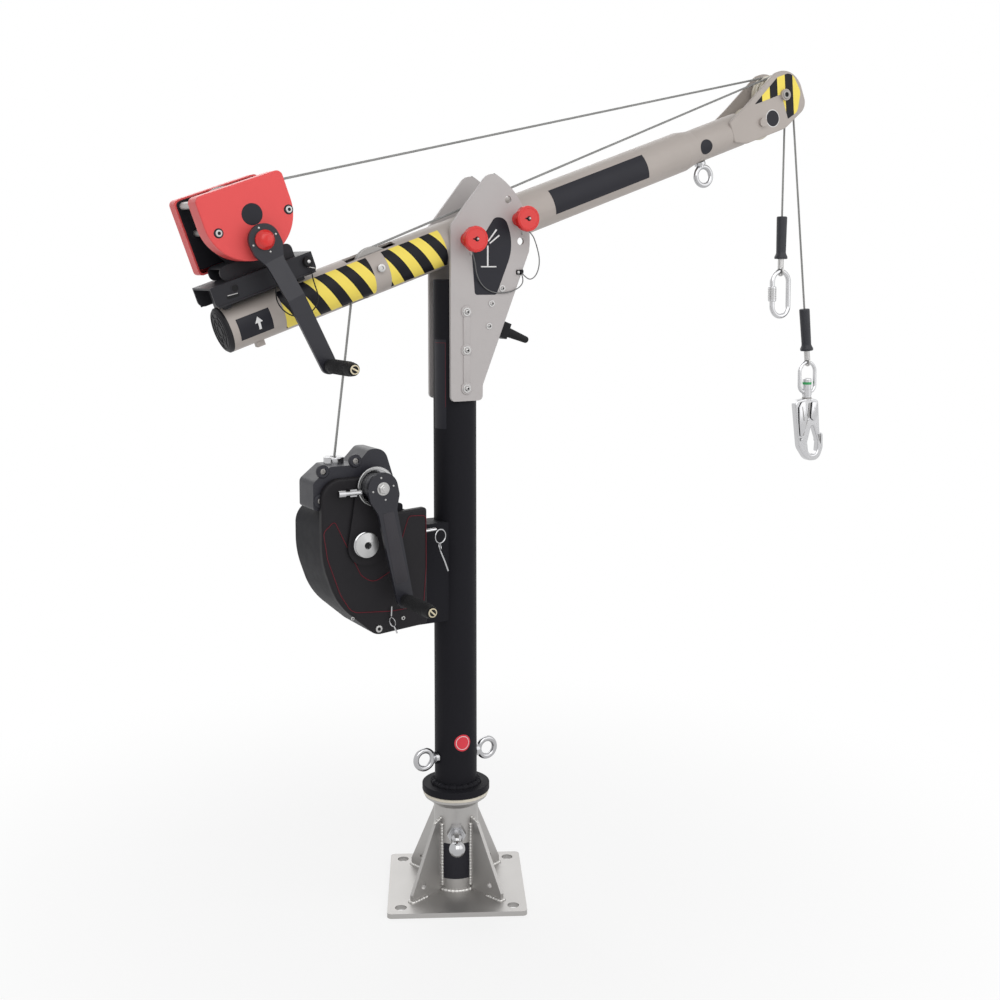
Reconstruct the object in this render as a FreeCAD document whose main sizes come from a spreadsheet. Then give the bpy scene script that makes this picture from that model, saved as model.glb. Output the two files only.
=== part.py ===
"""Floor mounted rescue davit: base, swivelling mast, pinned boom, winch and rope retriever.

The origin is the centre of the base plate's underside, +Z is up and the boom points to +X.
Sizes are in millimetres and degrees. The boom's pieces are drawn in the boom's own frame, which
has its origin on the pivot pin and its X axis along the boom, and are then luffed up.
"""
import FreeCAD, Part
import math
import os
import re
from types import SimpleNamespace

Vector = FreeCAD.Vector

SIZES = {
    # Fits between pieces
    "seat_gap": 0.3,
    "weld_gap": 0.05,
    "bearing_gap": 0.08,
    # Base
    "base_yaw": -27,
    "plate_side": 285,
    "plate_thick": 10,
    "plate_corner": 3,
    "anchor_gap": 230,
    "anchor_hole": 24,
    "sleeve_od": 93,
    "sleeve_wall": 4.5,
    "sleeve_height": 198,
    "cup_od": 132,
    "cup_height": 20,
    "cup_lip": 5,
    "ring_od": 138,
    "ring_thick": 7,
    "ring_ease": 2,
    "gusset_thick": 8,
    "gusset_reach": 132,
    "gusset_head": 64,
    "gusset_height": 154,
    "gusset_slant": 7,
    "gusset_heel": 14,
    "gusset_hole": 12,
    "gusset_hole_reach": 100,
    "gusset_hole_rise": 24,
    "plunger_rise": 128,
    "boss_across": 34,
    "boss_length": 18,
    "plunger_od": 24,
    "plunger_neck_od": 17,
    "plunger_length": 66,
    "plunger_knob_od": 33,
    # Mast
    "mast_od": 88.9,
    "mast_wall": 4,
    "mast_foot": 40,
    "mast_gap": 81,
    "collar_od": 142,
    "collar_thick": 15,
    "collar_ease": 2,
    "eye_rise": 290,
    "eye_stand": 30,
    "eye_ring_radius": 19,
    "eye_wire": 12,
    "eye_seat_od": 26,
    "eye_seat": 7,
    "eye_shank_od": 15,
    # Head
    "pivot_height": 1371,
    "luff": 19.5,
    "head_thick": 6,
    "head_back": 35.5,
    "head_front": 38,
    "head_drop": 328,
    "head_waist": 297,
    "head_shoulder": 28,
    "head_radius": 150,
    "head_apex_angle": 64,
    "head_low_angle": -9,
    "head_corner": 10,
    "head_apex_radius": 26,
    "lock_reach": 128,
    "lock_step": 20.5,
    "pin_od": 15,
    "pin_hole": 15.6,
    "pin_tail": 14,
    "knob_od": 52,
    "knob_face": 14,
    "knob_neck_od": 28,
    "knob_neck": 32,
    "handle_od": 22,
    "handle_length": 126,
    "handle_tilt": 21,
    "handle_reach": 58,
    "handle_fall": 166,
    "handle_block": 24,
    "handle_taper": 0.62,
    # Boom
    "boom_od": 88.9,
    "boom_wall": 4,
    "boom_rear": 521,
    "cap_lip": 8,
    "cap_plug": 20,
    "swage_start": 606,
    "swage_end": 640,
    "tip_od": 76.1,
    "tip_end": 784,
    "boom_eye_along": 656,
    "boom_eye_ring_radius": 21,
    "boom_eye_wire": 12,
    "boom_eye_stand": 33,
    "pulley_along": 196,
    "pulley_rise": 8,
    "pulley_rope_radius": 40,
    "pulley_width": 15,
    "pulley_slot": 112,
    "pulley_outlet": 62,
    "pulley_slot_width": 22,
    "pulley_pin": 12,
    "pulley_pin_proud": 4,
    # Boom tip
    "tip_along": 913,
    "tip_rise": 41,
    "lug_along": 464,
    "lug_length": 16,
    "lug_drop": 54,
    "cheek_radius": 55,
    "cheek_thick": 6,
    "cheek_start": 738,
    "cheek_low": 33,
    "cheek_chin_back": 20,
    "cheek_chin_radius": 50,
    "cheek_edge": 3,
    "cheek_nape": 47,
    "sheave_rope_radius": 47,
    "sheave_width": 18,
    "sheave_spread": 24,
    "tip_axle": 16,
    "tip_axle_head": 26,
    "tip_axle_head_thick": 7,
    "roller_along": 829,
    "roller_od": 79,
    "roller_width": 54,
    "roller_pin": 12,
    # Ropes
    "rope_od": 5,
    "winch_lean": -0.8,
    "hook_lean": 5.7,
    "winch_fall": 378,
    "hook_fall": 606,
    "grip_sleeve_od": 23,
    "grip_sleeve_flare": 31,
    "grip_sleeve_length": 101,
    "ferrule_od": 14,
    "ferrule_length": 20,
    "loop_gap": 1,
    "carabiner_width": 62,
    "carabiner_height": 119,
    "carabiner_wire": 12,
    "screw_sleeve_od": 19,
    "screw_sleeve_length": 36,
    "link_width": 57,
    "link_height": 81,
    "link_wire": 9,
    "swivel_od": 23,
    "swivel_length": 14,
    "swivel_pin_od": 15,
    "swivel_head_od": 21,
    "swivel_head": 26,
    "hook_neck": 6,
    "hook_height": 154,
    "hook_thick": 17,
    "hook_edge": 3.5,
    "gate_slit": 2,
    # Winch, measured from the drum's axis or from the boom's axis
    "winch_inset": 93,
    "winch_rise": 196,
    "cover_radius": 87.5,
    "cover_top": 57,
    "cover_corner": 12,
    "plate_corner": 10,
    "plate_foot_corner": 8,
    "plate_foot_round": 40,
    "cover_wall": 3,
    "cover_edge": 2.5,
    "cover_face": 82,
    "cover_back": 36,
    "side_thick": 5,
    "side_tab": 52,
    "side_corner": 8,
    "side_waist_round": 50,
    "side_heel": 4,
    "side_toe": 30,
    "rear_side": 46,
    "rear_cover": 82,
    "rear_cover_drop": 92,
    "foot_length": 150,
    "foot_shift": 0,
    "foot_width": 71,
    "foot_height": 28,
    "foot_wall": 4,
    "foot_corner": 12,
    "rail_length": 210,
    "rail_shift": 3,
    "rail_width": 108,
    "rail_top": 88,
    "rail_drop": 47,
    "rail_wall": 4,
    "rail_corner": 13,
    "rail_saddle": 14,
    "rail_saddle_width": 64,
    "rail_saddle_sink": 8,
    "quick_pin": 10,
    "quick_pin_head": 18,
    "quick_pin_inset": 14,
    "quick_pin_drop": 16,
    "spacer_od": 14,
    "drum_core": 60,
    "drum_flange": 112,
    "drum_flange_thick": 4,
    "drum_rope_radius": 46,
    "crank_shift": 4,
    "crank_drop": 53,
    "crank_boss_od": 40,
    "crank_arm_thick": 8,
    "crank_arm_stand": 16,
    "crank_arm_length": 261,
    "crank_arm_angle": -82.8,
    "crank_head_od": 60,
    "crank_arm_width": 36,
    "crank_end_od": 32,
    "crank_joggle": 18,
    "crank_bend_start": 40,
    "crank_bend_end": 118,
    "dome_od": 37,
    "dome_rise": 15,
    "grip_od": 27,
    "grip_length": 112,
    "grip_bulge": 14,
    "grip_pin_od": 10,
    "grip_screw_od": 17,
    "grip_screw": 3,
    # Retriever, measured from its drum's axis
    "retriever_reach": 242,
    "retriever_rise": 777,
    "retriever_face": 75,
    "retriever_back": 70,
    "retriever_cover_thick": 15,
    "retriever_edge": 5,
    "retriever_radius": 86,
    "retriever_bottom": 186,
    "housing_right": 92,
    "housing_top": 71,
    "housing_shoulder": 42,
    "carrier_right": 139,
    "carrier_top": 60,
    "carrier_wall": 3,
    "carrier_lift": 20,
    "block_left": 98,
    "block_right": 71,
    "block_height": 112,
    "block_back": 15,
    "outlet_shift": 35,
    "outlet_drop": 29,
    "outlet_od": 40,
    "outlet_neck_od": 30,
    "outlet_bore": 15,
    "outlet_sink": 14,
    "outlet_height": 13,
    "pad_radius": 42,
    "pad_rise": 6,
    "pad_margin": 38,
    "disc_od": 50,
    "disc_thick": 12,
    "retriever_crank_shift": 24,
    "retriever_crank_up": 112,
    "crank_margin": 19,
    "cover_shoulder": 40,
    "retriever_ring_od": 66,
    "retriever_ring": 3,
    "retriever_boss_od": 50,
    "retriever_boss": 24,
    "retriever_arm_length": 228,
    "retriever_arm_angle": -78.3,
    "retriever_head_od": 63,
    "retriever_arm_width": 40,
    "retriever_end_od": 34,
    "pull_plunger_od": 9,
    "pull_plunger_length": 40,
    "pull_plunger_gap": 53,
    "pull_knob_od": 14,
    "pull_plunger_drop": 7,
    "plunger_stand": 20,
    "bracket_width": 62,
    "bracket_drop": 190,
    "bracket_height": 206,
    # Lanyards
    "lanyard_od": 2.4,
}

# Lanyard routes, from the pivot on the front head plate's face
LOCK_LANYARD = [(121, -15, 27.3), (145, -15, 17), (158, -15, -11), (166, -15, -43), (160, -13, -71),
                (146, -9, -83), (132, -6, -73), (127, -3, -65)]
PIVOT_LANYARD = [(2, -15, -15.4), (14, -11, -41), (20, -6, -71), (36, -3, -95), (58, -2.5, -107),
                 (84, -2.5, -109), (108, -3, -105), (127, -4, -95), (133, -4, -81), (128, -3, -69)]
# Lanyard route from the middle of the rail's top edge
RAIL_LANYARD = [(91, -10, 9), (95, -8, -14), (103, -5, -34), (109, -4, -50), (107, -4, -66), (97, -3, -80),
                (79, -2.5, -89), (58, -2, -89), (40, -1.8, -79), (28, -1.6, -64), (24, -1.4, -47),
                (25, -1.3, -30)]

# The snap hook's outline and throat as (across, up, corner radius), in hundredths of its height
HOOK_OUTLINE = [(-24, -4, 6.5), (-7, -1.5, 20), (7, -1.5, 20), (20, -5, 5.5), (24, -56.5, 3), (31, -57.5, 4),
                (31.5, -80.5, 13), (23.5, -100, 16), (-1.5, -100, 20), (-18.5, -78, 20), (-27.5, -9.5, 6)]
HOOK_THROAT = [(8, -38, 3.5), (21, -70, 8), (19.5, -90.5, 9), (2, -90.5, 9.5), (-1.5, -70.5, 7)]
HOOK_SLIT = (25.5, -66, 16)

doc = FreeCAD.newDocument("Davit")
sheet = doc.addObject("Spreadsheet::Sheet", "Sizes")
for row, (alias, number) in enumerate(SIZES.items(), start=1):
    sheet.set(f"A{row}", alias)
    sheet.set(f"B{row}", str(number))
    sheet.setAlias(f"B{row}", alias)
doc.recompute()
s = SimpleNamespace(**{alias: float(sheet.get(alias)) for alias in SIZES})

nodes = []


# Binding to the sheet

def bound(text):
    """Return an expression with every alias pointing at the sheet."""
    return re.sub(r"[a-z_]+\w*", lambda word: f"Sizes.{word[0]}" if word[0] in SIZES else word[0], str(text))


def bind(item, **texts):
    """Bind properties of an item to expressions of sheet aliases."""
    for prop, text in texts.items():
        item.setExpression(prop, bound(text))
    return item


def move(x=0, y=0, z=0):
    """Return a placement step that shifts."""
    return f"placement(vector({x};{y};{z});rotation(vector(0;0;1);0))"


def spin(axis, angle):
    """Return a placement step that turns about an axis through the origin."""
    return f"placement(vector(0;0;0);rotation(vector({axis});{angle}))"


ALONG_X = spin("0;1;0", 90)
ALONG_Y = spin("1;0;0", -90)
ALONG_MINUS_Y = spin("1;0;0", 90)
DOWN = spin("1;0;0", 180)
ON_BOOM = move(z="pivot_height") + "*" + spin("0;-1;0", "luff")
ON_BASE = spin("0;0;1", "base_yaw")
ON_DRUM = move("winch_inset-boom_rear", 0, "winch_rise")
ON_RETRIEVER = move("-retriever_reach", 0, "retriever_rise")


def put(item, *steps):
    """Bind an item's placement to a chain of steps, the outermost first."""
    if steps:
        bind(item, Placement="*".join(steps))
    return item


def node(label, item, *steps):
    """Keep an item as a named piece of the davit."""
    put(item, *steps)
    item.Label = label
    nodes.append(item)
    return item


# Shapes

def cylinder(name, diameter, height, *steps):
    """Return a bound cylinder."""
    item = doc.addObject("Part::Cylinder", name)
    bind(item, Radius=f"({diameter})/2", Height=height)
    return put(item, *steps)


def box(name, length, width, height, *steps):
    """Return a bound box that is centred on X and Y and stands on Z = 0."""
    item = doc.addObject("Part::Box", name)
    bind(item, Length=length, Width=width, Height=height)
    return put(item, *steps, move(f"-({length})/2", f"-({width})/2"))


def torus(name, radius, wire, *steps):
    """Return a bound ring."""
    item = doc.addObject("Part::Torus", name)
    bind(item, Radius1=radius, Radius2=f"({wire})/2")
    return put(item, *steps)


def fuse(name, *items):
    """Return the union of items."""
    item = doc.addObject("Part::MultiFuse", name)
    item.Shapes = list(items)
    item.Refine = True
    return item


def cut(name, base, *tools):
    """Return a base less its tools."""
    item = doc.addObject("Part::Cut", name)
    item.Base = base
    item.Tool = tools[0] if len(tools) == 1 else fuse(name + "_tools", *tools)
    item.Refine = True
    return item


def common(name, *items):
    """Return what items share."""
    item = doc.addObject("Part::MultiCommon", name)
    item.Shapes = list(items)
    item.Refine = True
    return item


def rounded_edges(corners, closed=True):
    """Return lines and tangent arcs through corners given as (x, y, z, radius)."""
    count = len(corners)
    points = [Vector(*corner[:3]) for corner in corners]
    stops = []
    for index, corner in enumerate(corners):
        here = points[index]
        radius = corner[3]
        if radius == 0 or (not closed and index in (0, count - 1)):
            stops.append((here, None, here))
            continue
        before = (points[index - 1] - here).normalize()
        after = (points[(index + 1) % count] - here).normalize()
        half = before.getAngle(after) / 2
        middle = (before + after).normalize()
        leg = radius / math.tan(half)
        crown = here + middle * (radius / math.sin(half) - radius)
        stops.append((here + before * leg, crown, here + after * leg))
    edges = []
    for index, (start, crown, end) in enumerate(stops):
        if crown is not None:
            edges.append(Part.Arc(start, crown, end))
        following = stops[(index + 1) % count][0]
        last = index == count - 1
        if (closed or not last) and (following - end).Length > 1e-6:
            edges.append(Part.LineSegment(end, following))
    return edges


def sketch_on(body, role, *outlines):
    """Add closed rounded outlines to one of a body's origin planes."""
    sketch = body.newObject("Sketcher::SketchObject", body.Name + "_sketch")
    plane = next(item for item in body.Origin.OriginFeatures if item.Role == role)
    sketch.AttachmentSupport = [(plane, "")]
    sketch.MapMode = "FlatFace"
    for corners in outlines:
        for edge in rounded_edges([(x, y, 0, radius) for x, y, radius in corners]):
            sketch.addGeometry(edge)
    return sketch


def extruded(name, corners, thickness, role="XZ_Plane", holes=(), edge=None, ends=(-1, 1)):
    """Return a body padded both ways from a rounded outline, with the edges of some ends eased."""
    body = doc.addObject("PartDesign::Body", name)
    pad = body.newObject("PartDesign::Pad", name + "_pad")
    pad.Profile = sketch_on(body, role, corners, *holes)
    pad.SideType = "Symmetric"
    bind(pad, Length=thickness)
    if edge:
        doc.recompute()
        faces = [f"Face{index}" for index, face in enumerate(pad.Shape.Faces, start=1)
                 if isinstance(face.Surface, Part.Plane) and round(face.normalAt(0, 0).y, 3) in ends]
        ease = body.newObject("PartDesign::Fillet", name + "_ease")
        ease.Base = (pad, faces)
        bind(ease, Radius=edge)
    return body


def turned(name, profile):
    """Return a body turned about Z from a profile of (radius, height, corner radius)."""
    body = doc.addObject("PartDesign::Body", name)
    sketch = sketch_on(body, "XZ_Plane", profile)
    turn = body.newObject("PartDesign::Revolution", name + "_turn")
    turn.Profile = sketch
    turn.ReferenceAxis = (sketch, ["V_Axis"])
    turn.Angle = 360
    return body


def ball(radius, height):
    """Return the lathe corners of a ball that stands on a height."""
    bend = radius * 0.998
    return [(radius, height, bend), (radius, height + 2 * radius, bend), (0, height + 2 * radius, 0)]


def square(*stations):
    """Return a lathe profile with plain corners."""
    return [(radius, height, 0) for radius, height in stations]


def swept(name, edges, diameter):
    """Return a round bar along joined edges."""
    item = doc.addObject("Part::Feature", name)
    path = Part.Wire([edge.toShape() for edge in edges])
    first = path.Edges[0]
    start = first.valueAt(first.FirstParameter)
    ring = Part.Circle(start, first.tangentAt(first.FirstParameter), diameter / 2)
    item.Shape = path.makePipeShell([Part.Wire(ring.toShape())], True, False)
    return item


# Base

def make_base():
    """Make the plate, the sleeve with its cup, the gussets, the ring and the plunger."""
    half = s.plate_side / 2
    corners = [(x, y, s.plate_corner) for x, y in
               ((-half, -half), (half, -half), (half, half), (-half, half))]
    plate = extruded("plate_blank", corners, "plate_thick", "XY_Plane")
    put(plate, move(z="plate_thick/2"))
    holes = [cylinder(f"anchor_{index}", "anchor_hole", "plate_thick*2",
                      move(f"{x}*anchor_gap/2", f"{y}*anchor_gap/2", "-plate_thick/2"))
             for index, (x, y) in enumerate(((-1, -1), (1, -1), (1, 1), (-1, 1)))]
    node("base_plate", cut("base_plate", plate, *holes), ON_BASE)

    outer = s.sleeve_od / 2
    inner = outer - s.sleeve_wall
    cup = s.cup_od / 2
    top = s.sleeve_height
    sleeve = turned("base_sleeve", square(
        (inner, 0), (outer, 0), (outer, top - s.cup_height), (cup, top - s.cup_lip), (cup, top),
        (inner, top)))
    node("base_sleeve", sleeve, ON_BASE, move(z="plate_thick"))

    rim = s.ring_od / 2
    ring = turned("bearing_ring", [(inner, 0, 0), (rim, 0, s.ring_ease), (rim, s.ring_thick, s.ring_ease),
                                   (inner, s.ring_thick, 0)])
    node("bearing_ring", ring, move(z="plate_thick+sleeve_height"))

    profile = square((outer, 0), (s.gusset_reach, 0), (s.gusset_reach, s.gusset_heel),
                     (s.gusset_head, s.gusset_height - s.gusset_slant), (outer, s.gusset_height))
    for label, angle in (("front_left", 225), ("front_right", 315), ("rear_right", 45), ("rear_left", 135)):
        blank = extruded(f"gusset_blank_{label}", profile, "gusset_thick")
        hole = cylinder(f"gusset_hole_{label}", "gusset_hole", "gusset_thick*2",
                        move("gusset_hole_reach", "-gusset_thick", "gusset_hole_rise"), ALONG_Y)
        node(f"gusset_{label}", cut(f"gusset_{label}", blank, hole),
             ON_BASE, spin("0;0;1", angle), move(z="plate_thick"))

    boss = doc.addObject("Part::Prism", "plunger_boss")
    boss.Polygon = 6
    bind(boss, Circumradius="boss_across/sqrt(3)", Height="boss_length")
    body = s.plunger_od / 2
    neck = s.plunger_neck_od / 2
    knob = s.plunger_knob_od / 2
    neck_end = s.boss_length + s.plunger_length
    seat = neck_end - knob + math.sqrt(knob ** 2 - neck ** 2)
    rod = turned("plunger_rod", square((0, 0), (body, 0), (body, s.boss_length + s.plunger_length / 3),
                                       (neck, s.boss_length + s.plunger_length / 2), (neck, seat), (0, seat)))
    handle = turned("plunger_ball", [(0, neck_end - knob, 0), *ball(knob, neck_end - knob)])
    node("index_plunger", fuse("index_plunger", boss, rod, handle), ON_BASE,
         move(y="-sleeve_od/2-weld_gap", z="plate_thick+plunger_rise"), ALONG_MINUS_Y)


def eye_bolt(name, ring_radius, wire, stand):
    """Return an eye bolt that stands on Z = 0 with its ring in the XZ plane."""
    seat = cylinder(name + "_seat", "eye_seat_od", "eye_seat")
    shank = cylinder(name + "_shank", "eye_shank_od", f"{stand}-{ring_radius}")
    ring = torus(name + "_ring", ring_radius, wire, move(z=stand), ALONG_Y)
    return fuse(name, seat, shank, ring)


# Mast and head

def make_mast():
    """Make the tube with the spigot that turns in the base, its collar and its two eye bolts."""
    outer = s.mast_od / 2
    inner = outer - s.mast_wall
    spigot = s.sleeve_od / 2 - s.sleeve_wall - s.bearing_gap
    step = s.plate_thick + s.sleeve_height + s.ring_thick + s.seat_gap
    top = s.pivot_height - s.mast_gap
    tube = turned("mast_tube", square(
        (spigot - s.mast_wall, s.mast_foot), (spigot, s.mast_foot), (spigot, step), (outer, step),
        (outer, top), (inner, top), (inner, step + s.mast_wall), (spigot - s.mast_wall, step)))
    node("mast_tube", tube)

    bore = outer + s.weld_gap
    rim = s.collar_od / 2
    thick = s.collar_thick
    collar = turned("mast_collar", [(bore, 0, 0), (rim, 0, s.collar_ease), (rim, thick, s.collar_ease),
                                    (bore, thick, 0)])
    node("mast_collar", collar, move(z="plate_thick+sleeve_height+ring_thick+seat_gap"))

    for label, side, turn in (("left", -1, -90), ("right", 1, 90)):
        eye = eye_bolt(f"mast_eye_{label}", "eye_ring_radius", "eye_wire", "eye_stand")
        node(f"mast_eye_{label}", eye, move(f"{side}*(mast_od/2+weld_gap)", 0, "eye_rise"),
             spin("0;1;0", turn))


def head_outline():
    """Return the head plate's outline about the pivot, with its rim an arc round the pivot."""
    apex = math.radians(s.head_apex_angle)
    low = math.radians(s.head_low_angle)
    middle = (apex + low) / 2
    reach = s.head_radius / math.cos((apex - low) / 2)
    rim_corner = (reach * math.cos(middle), reach * math.sin(middle), s.head_radius * 0.999)
    rim_start = (s.head_radius * math.cos(low), s.head_radius * math.sin(low), 0)
    corner = s.head_corner
    shoulder = (-s.head_back, s.head_shoulder, corner)
    peak_rise = s.head_radius - corner
    peak = (s.head_radius * math.cos(apex) - (peak_rise - s.head_radius * math.sin(apex)) * math.tan(apex),
            peak_rise, s.head_apex_radius)
    return [(-s.head_back, -s.head_drop, corner), (s.head_front, -s.head_drop, corner),
            (s.head_front, -s.head_waist, 2 * corner), rim_start, rim_corner, peak, shoulder]


def make_head():
    """Make the two head plates, the pins with their knobs and the carrying handle."""
    pin_places = [(0, 0)]
    for step in (-1, 0, 1):
        angle = f"luff+{step}*lock_step"
        pin_places.append((f"lock_reach*cos({angle})", f"lock_reach*sin({angle})"))
    for label, side in (("front", -1), ("rear", 1)):
        blank = extruded(f"head_blank_{label}", head_outline(), "head_thick")
        holes = [cylinder(f"head_hole_{label}_{index}", "pin_hole", "head_thick*2",
                          move(x, "-head_thick", z), ALONG_Y)
                 for index, (x, z) in enumerate(pin_places)]
        node(f"head_plate_{label}", cut(f"head_plate_{label}", blank, *holes),
             move(y=f"{side}*(mast_od/2+seat_gap+head_thick/2)", z="pivot_height"))

    face = s.mast_od / 2 + s.seat_gap + s.head_thick
    neck = s.knob_neck_od / 2
    knob = s.knob_od / 2
    shank_end = -2 * face - s.pin_tail
    profile = [(0, shank_end, 0), (s.pin_od / 2 - 2, shank_end, 0), (s.pin_od / 2, shank_end + 3, 0),
               (s.pin_od / 2, s.weld_gap, 0), (neck, s.weld_gap, 2), (neck, s.knob_neck, 0),
               (knob, s.knob_neck, 2), (knob, s.knob_neck + s.knob_face, 3),
               (0, s.knob_neck + s.knob_face, 0)]
    front = "-(mast_od/2+seat_gap+head_thick)"
    for label, along in (("pivot_pin", "0"), ("lock_pin", "lock_reach")):
        node(label, turned(label, profile), ON_BOOM, move(along, front), ALONG_MINUS_Y)

    block = box("handle_foot", "handle_block", "mast_od", "handle_block*1.6", move(z="-handle_block*0.8"))
    bar = s.handle_od / 2
    tip = bar * s.handle_taper
    grip = turned("handle_grip", [(0, 0, 0), (bar, 0, 0), (bar, s.handle_length / 2, bar),
                                  (tip, s.handle_length, tip * 0.8), (0, s.handle_length, 0)])
    tab = box("handle_tab", "handle_block*1.4", "handle_block*1.2", "handle_block*0.75",
              move(z="handle_length*0.4"))
    handle = fuse("handle_bar", grip, tab)
    put(handle, spin("0;1;0", "90+handle_tilt"))
    node("carrying_handle", fuse("carrying_handle", block, handle),
         move("handle_reach", 0, "pivot_height-handle_fall"))


# Boom

def make_boom():
    """Make the boom tube with its pulley, its end cap and its eye nut."""
    outer = s.boom_od / 2
    tip = s.tip_od / 2
    profile = square((outer, -s.boom_rear), (outer, s.swage_start), (tip, s.swage_end), (tip, s.tip_end),
                     (tip - s.boom_wall, s.tip_end), (tip - s.boom_wall, s.swage_end),
                     (outer - s.boom_wall, s.swage_start), (outer - s.boom_wall, -s.boom_rear))
    lug = box("boom_lug", "lug_length", "lug_length", "lug_drop-boom_od/2+boom_wall/2",
              move("-lug_along", 0, "-lug_drop"))
    tube = fuse("boom_blank", put(turned("boom_bar", profile), ALONG_X), lug)
    holes = [cylinder(f"boom_hole_{label}", "pin_hole", "boom_od*2", move(along, "-boom_od"), ALONG_Y)
             for label, along in (("pivot", "0"), ("lock", "lock_reach"))]
    holes.append(cylinder("boom_hole_pulley", "pulley_pin+2*weld_gap", "boom_od*2",
                          move("-pulley_along", "-boom_od", "pulley_rise"), ALONG_Y))
    slot = box("boom_slot", "pulley_slot", "pulley_slot_width", "boom_od",
               move("-pulley_along", "-sheave_spread/2"))
    outlet = box("boom_outlet", "pulley_outlet", "pulley_slot_width", "boom_od",
                 move("-pulley_along-pulley_outlet", "-sheave_spread/2", "-boom_od"))
    sides = [box(f"boom_side_{label}", "tip_end", "cheek_thick+weld_gap", "boom_od",
                 move("cheek_start-weld_gap+tip_end/2", f"{side}*(tip_od-cheek_thick-weld_gap)/2",
                      "-boom_od/2"))
             for label, side in (("front", -1), ("rear", 1))]
    node("boom_tube", cut("boom_tube", tube, slot, outlet, *sides, *holes), ON_BOOM)

    plug = outer - s.boom_wall - s.weld_gap
    slope = s.cap_lip / 2
    cap = turned("boom_end_cap", [(0, -s.cap_lip, 0), (outer - slope, -s.cap_lip, 0), (outer, -slope, 0),
                                  (outer, 0, 0), (plug, 0, 0), (plug, s.cap_plug, 0), (0, s.cap_plug, 0)])
    node("boom_end_cap", cap, ON_BOOM, move("-boom_rear"), ALONG_X)

    eye = eye_bolt("boom_eye", "boom_eye_ring_radius", "boom_eye_wire", "boom_eye_stand")
    node("boom_eye", eye, ON_BOOM, move("boom_eye_along", 0, "-tip_od/2-weld_gap"), DOWN)

    wheel = grooved_wheel("pulley_wheel", s.pulley_rope_radius, s.pulley_width, s.pulley_pin / 4)
    put(wheel, move(y="-sheave_spread/2"), ALONG_Y)
    pin = cylinder("pulley_pin", "pulley_pin", "boom_od+2*pulley_pin_proud",
                   move(y="-boom_od/2-pulley_pin_proud"), ALONG_Y)
    node("boom_pulley", fuse("boom_pulley", wheel, pin), ON_BOOM, move("-pulley_along", 0, "pulley_rise"))


def grooved_wheel(name, rope_radius, width, bore):
    """Return a wheel about Z, centred on Z = 0, whose round groove carries a rope."""
    clear = s.rope_od / 2 + s.seat_gap
    floor = rope_radius - clear
    rim = rope_radius + clear
    half = width / 2
    bend = clear * 0.98
    return turned(name, [(bore, -half, 0), (rim, -half, 1), (rim, -clear - 1, 1), (floor, -clear, bend),
                         (floor, clear, bend), (rim, clear + 1, 1), (rim, half, 1), (bore, half, 0)])


def make_boom_tip():
    """Make the cheeks, the axle, the two sheaves and the roller under the boom."""
    axle_along = s.tip_along
    start = s.cheek_start
    low = s.cheek_low
    round_off = s.cheek_radius
    right = axle_along + round_off
    top = s.tip_rise + round_off
    outline = [(start, -low * 0.6, low / 6), (start + low, -low, low / 3),
               (axle_along - s.cheek_chin_back, -low, s.cheek_chin_radius),
               (right + round_off * 0.07, s.tip_rise - round_off * 0.82, round_off * 0.55),
               (right, top, round_off), (axle_along - round_off / 5, top, round_off / 2),
               (start + low * 1.6, s.cheek_nape, low),
               (start, low * 0.8, low / 4)]
    for label, side in (("front", -1), ("rear", 1)):
        blank = extruded(f"cheek_blank_{label}", outline, "cheek_thick", edge="cheek_edge", ends=(side,))
        holes = [cylinder(f"cheek_hole_{label}_{part}", f"{diameter}+2*weld_gap", "cheek_thick*2",
                          move(along, "-cheek_thick", rise), ALONG_Y)
                 for part, diameter, along, rise in (("axle", "tip_axle", "tip_along", "tip_rise"),
                                                     ("roller", "roller_pin", "roller_along", "0"))]
        node(f"tip_cheek_{label}", cut(f"tip_cheek_{label}", blank, *holes),
             ON_BOOM, move(y=f"{side}*(tip_od-cheek_thick)/2"))

    inner = s.tip_od / 2 - s.cheek_thick
    face = s.tip_od / 2 + s.weld_gap
    head = face + s.tip_axle_head_thick
    pin = s.tip_axle / 2
    hub_end = s.sheave_spread / 2 + s.sheave_width / 2 + s.seat_gap
    axle = turned("sheave_axle", square(
        (0, -head), (s.tip_axle_head / 2, -head), (s.tip_axle_head / 2, -face), (pin, -face),
        (pin, -inner + s.weld_gap), (pin + 4, -inner + s.weld_gap), (pin + 4, -hub_end), (pin, -hub_end),
        (pin, hub_end), (pin + 4, hub_end), (pin + 4, inner - s.weld_gap), (pin, inner - s.weld_gap),
        (pin, face), (s.tip_axle_head / 2, face), (s.tip_axle_head / 2, head), (0, head)))
    put(axle, move("tip_along", 0, "tip_rise"), ALONG_Y)
    for label, side in (("front", -1), ("rear", 1)):
        wheel = grooved_wheel(f"tip_sheave_{label}", s.sheave_rope_radius, s.sheave_width, pin + 0.1)
        node(f"tip_sheave_{label}", wheel, ON_BOOM, move("tip_along", f"{side}*sheave_spread/2", "tip_rise"),
             ALONG_Y)

    half = s.roller_width / 2
    rim = s.roller_od / 2
    bore = s.roller_pin / 2 + 0.1
    roller = turned("tip_roller", [(bore, -half, 0), (rim, -half, rim / 8), (rim * 0.93, 0, rim * 0.7),
                                   (rim, half, rim / 8), (bore, half, 0)])
    node("tip_roller", roller, ON_BOOM, move("roller_along"), ALONG_Y)
    reach = s.roller_pin / 2
    pin_head = face + 6
    roller_axle = turned("roller_axle", square(
        (0, -pin_head), (reach + 4, -pin_head), (reach + 4, -face), (reach, -face), (reach, face),
        (reach + 4, face), (reach + 4, pin_head), (0, pin_head)))
    put(roller_axle, move("roller_along"), ALONG_Y)
    node("tip_axles", fuse("tip_axles", axle, roller_axle), ON_BOOM)


# Winch

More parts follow.
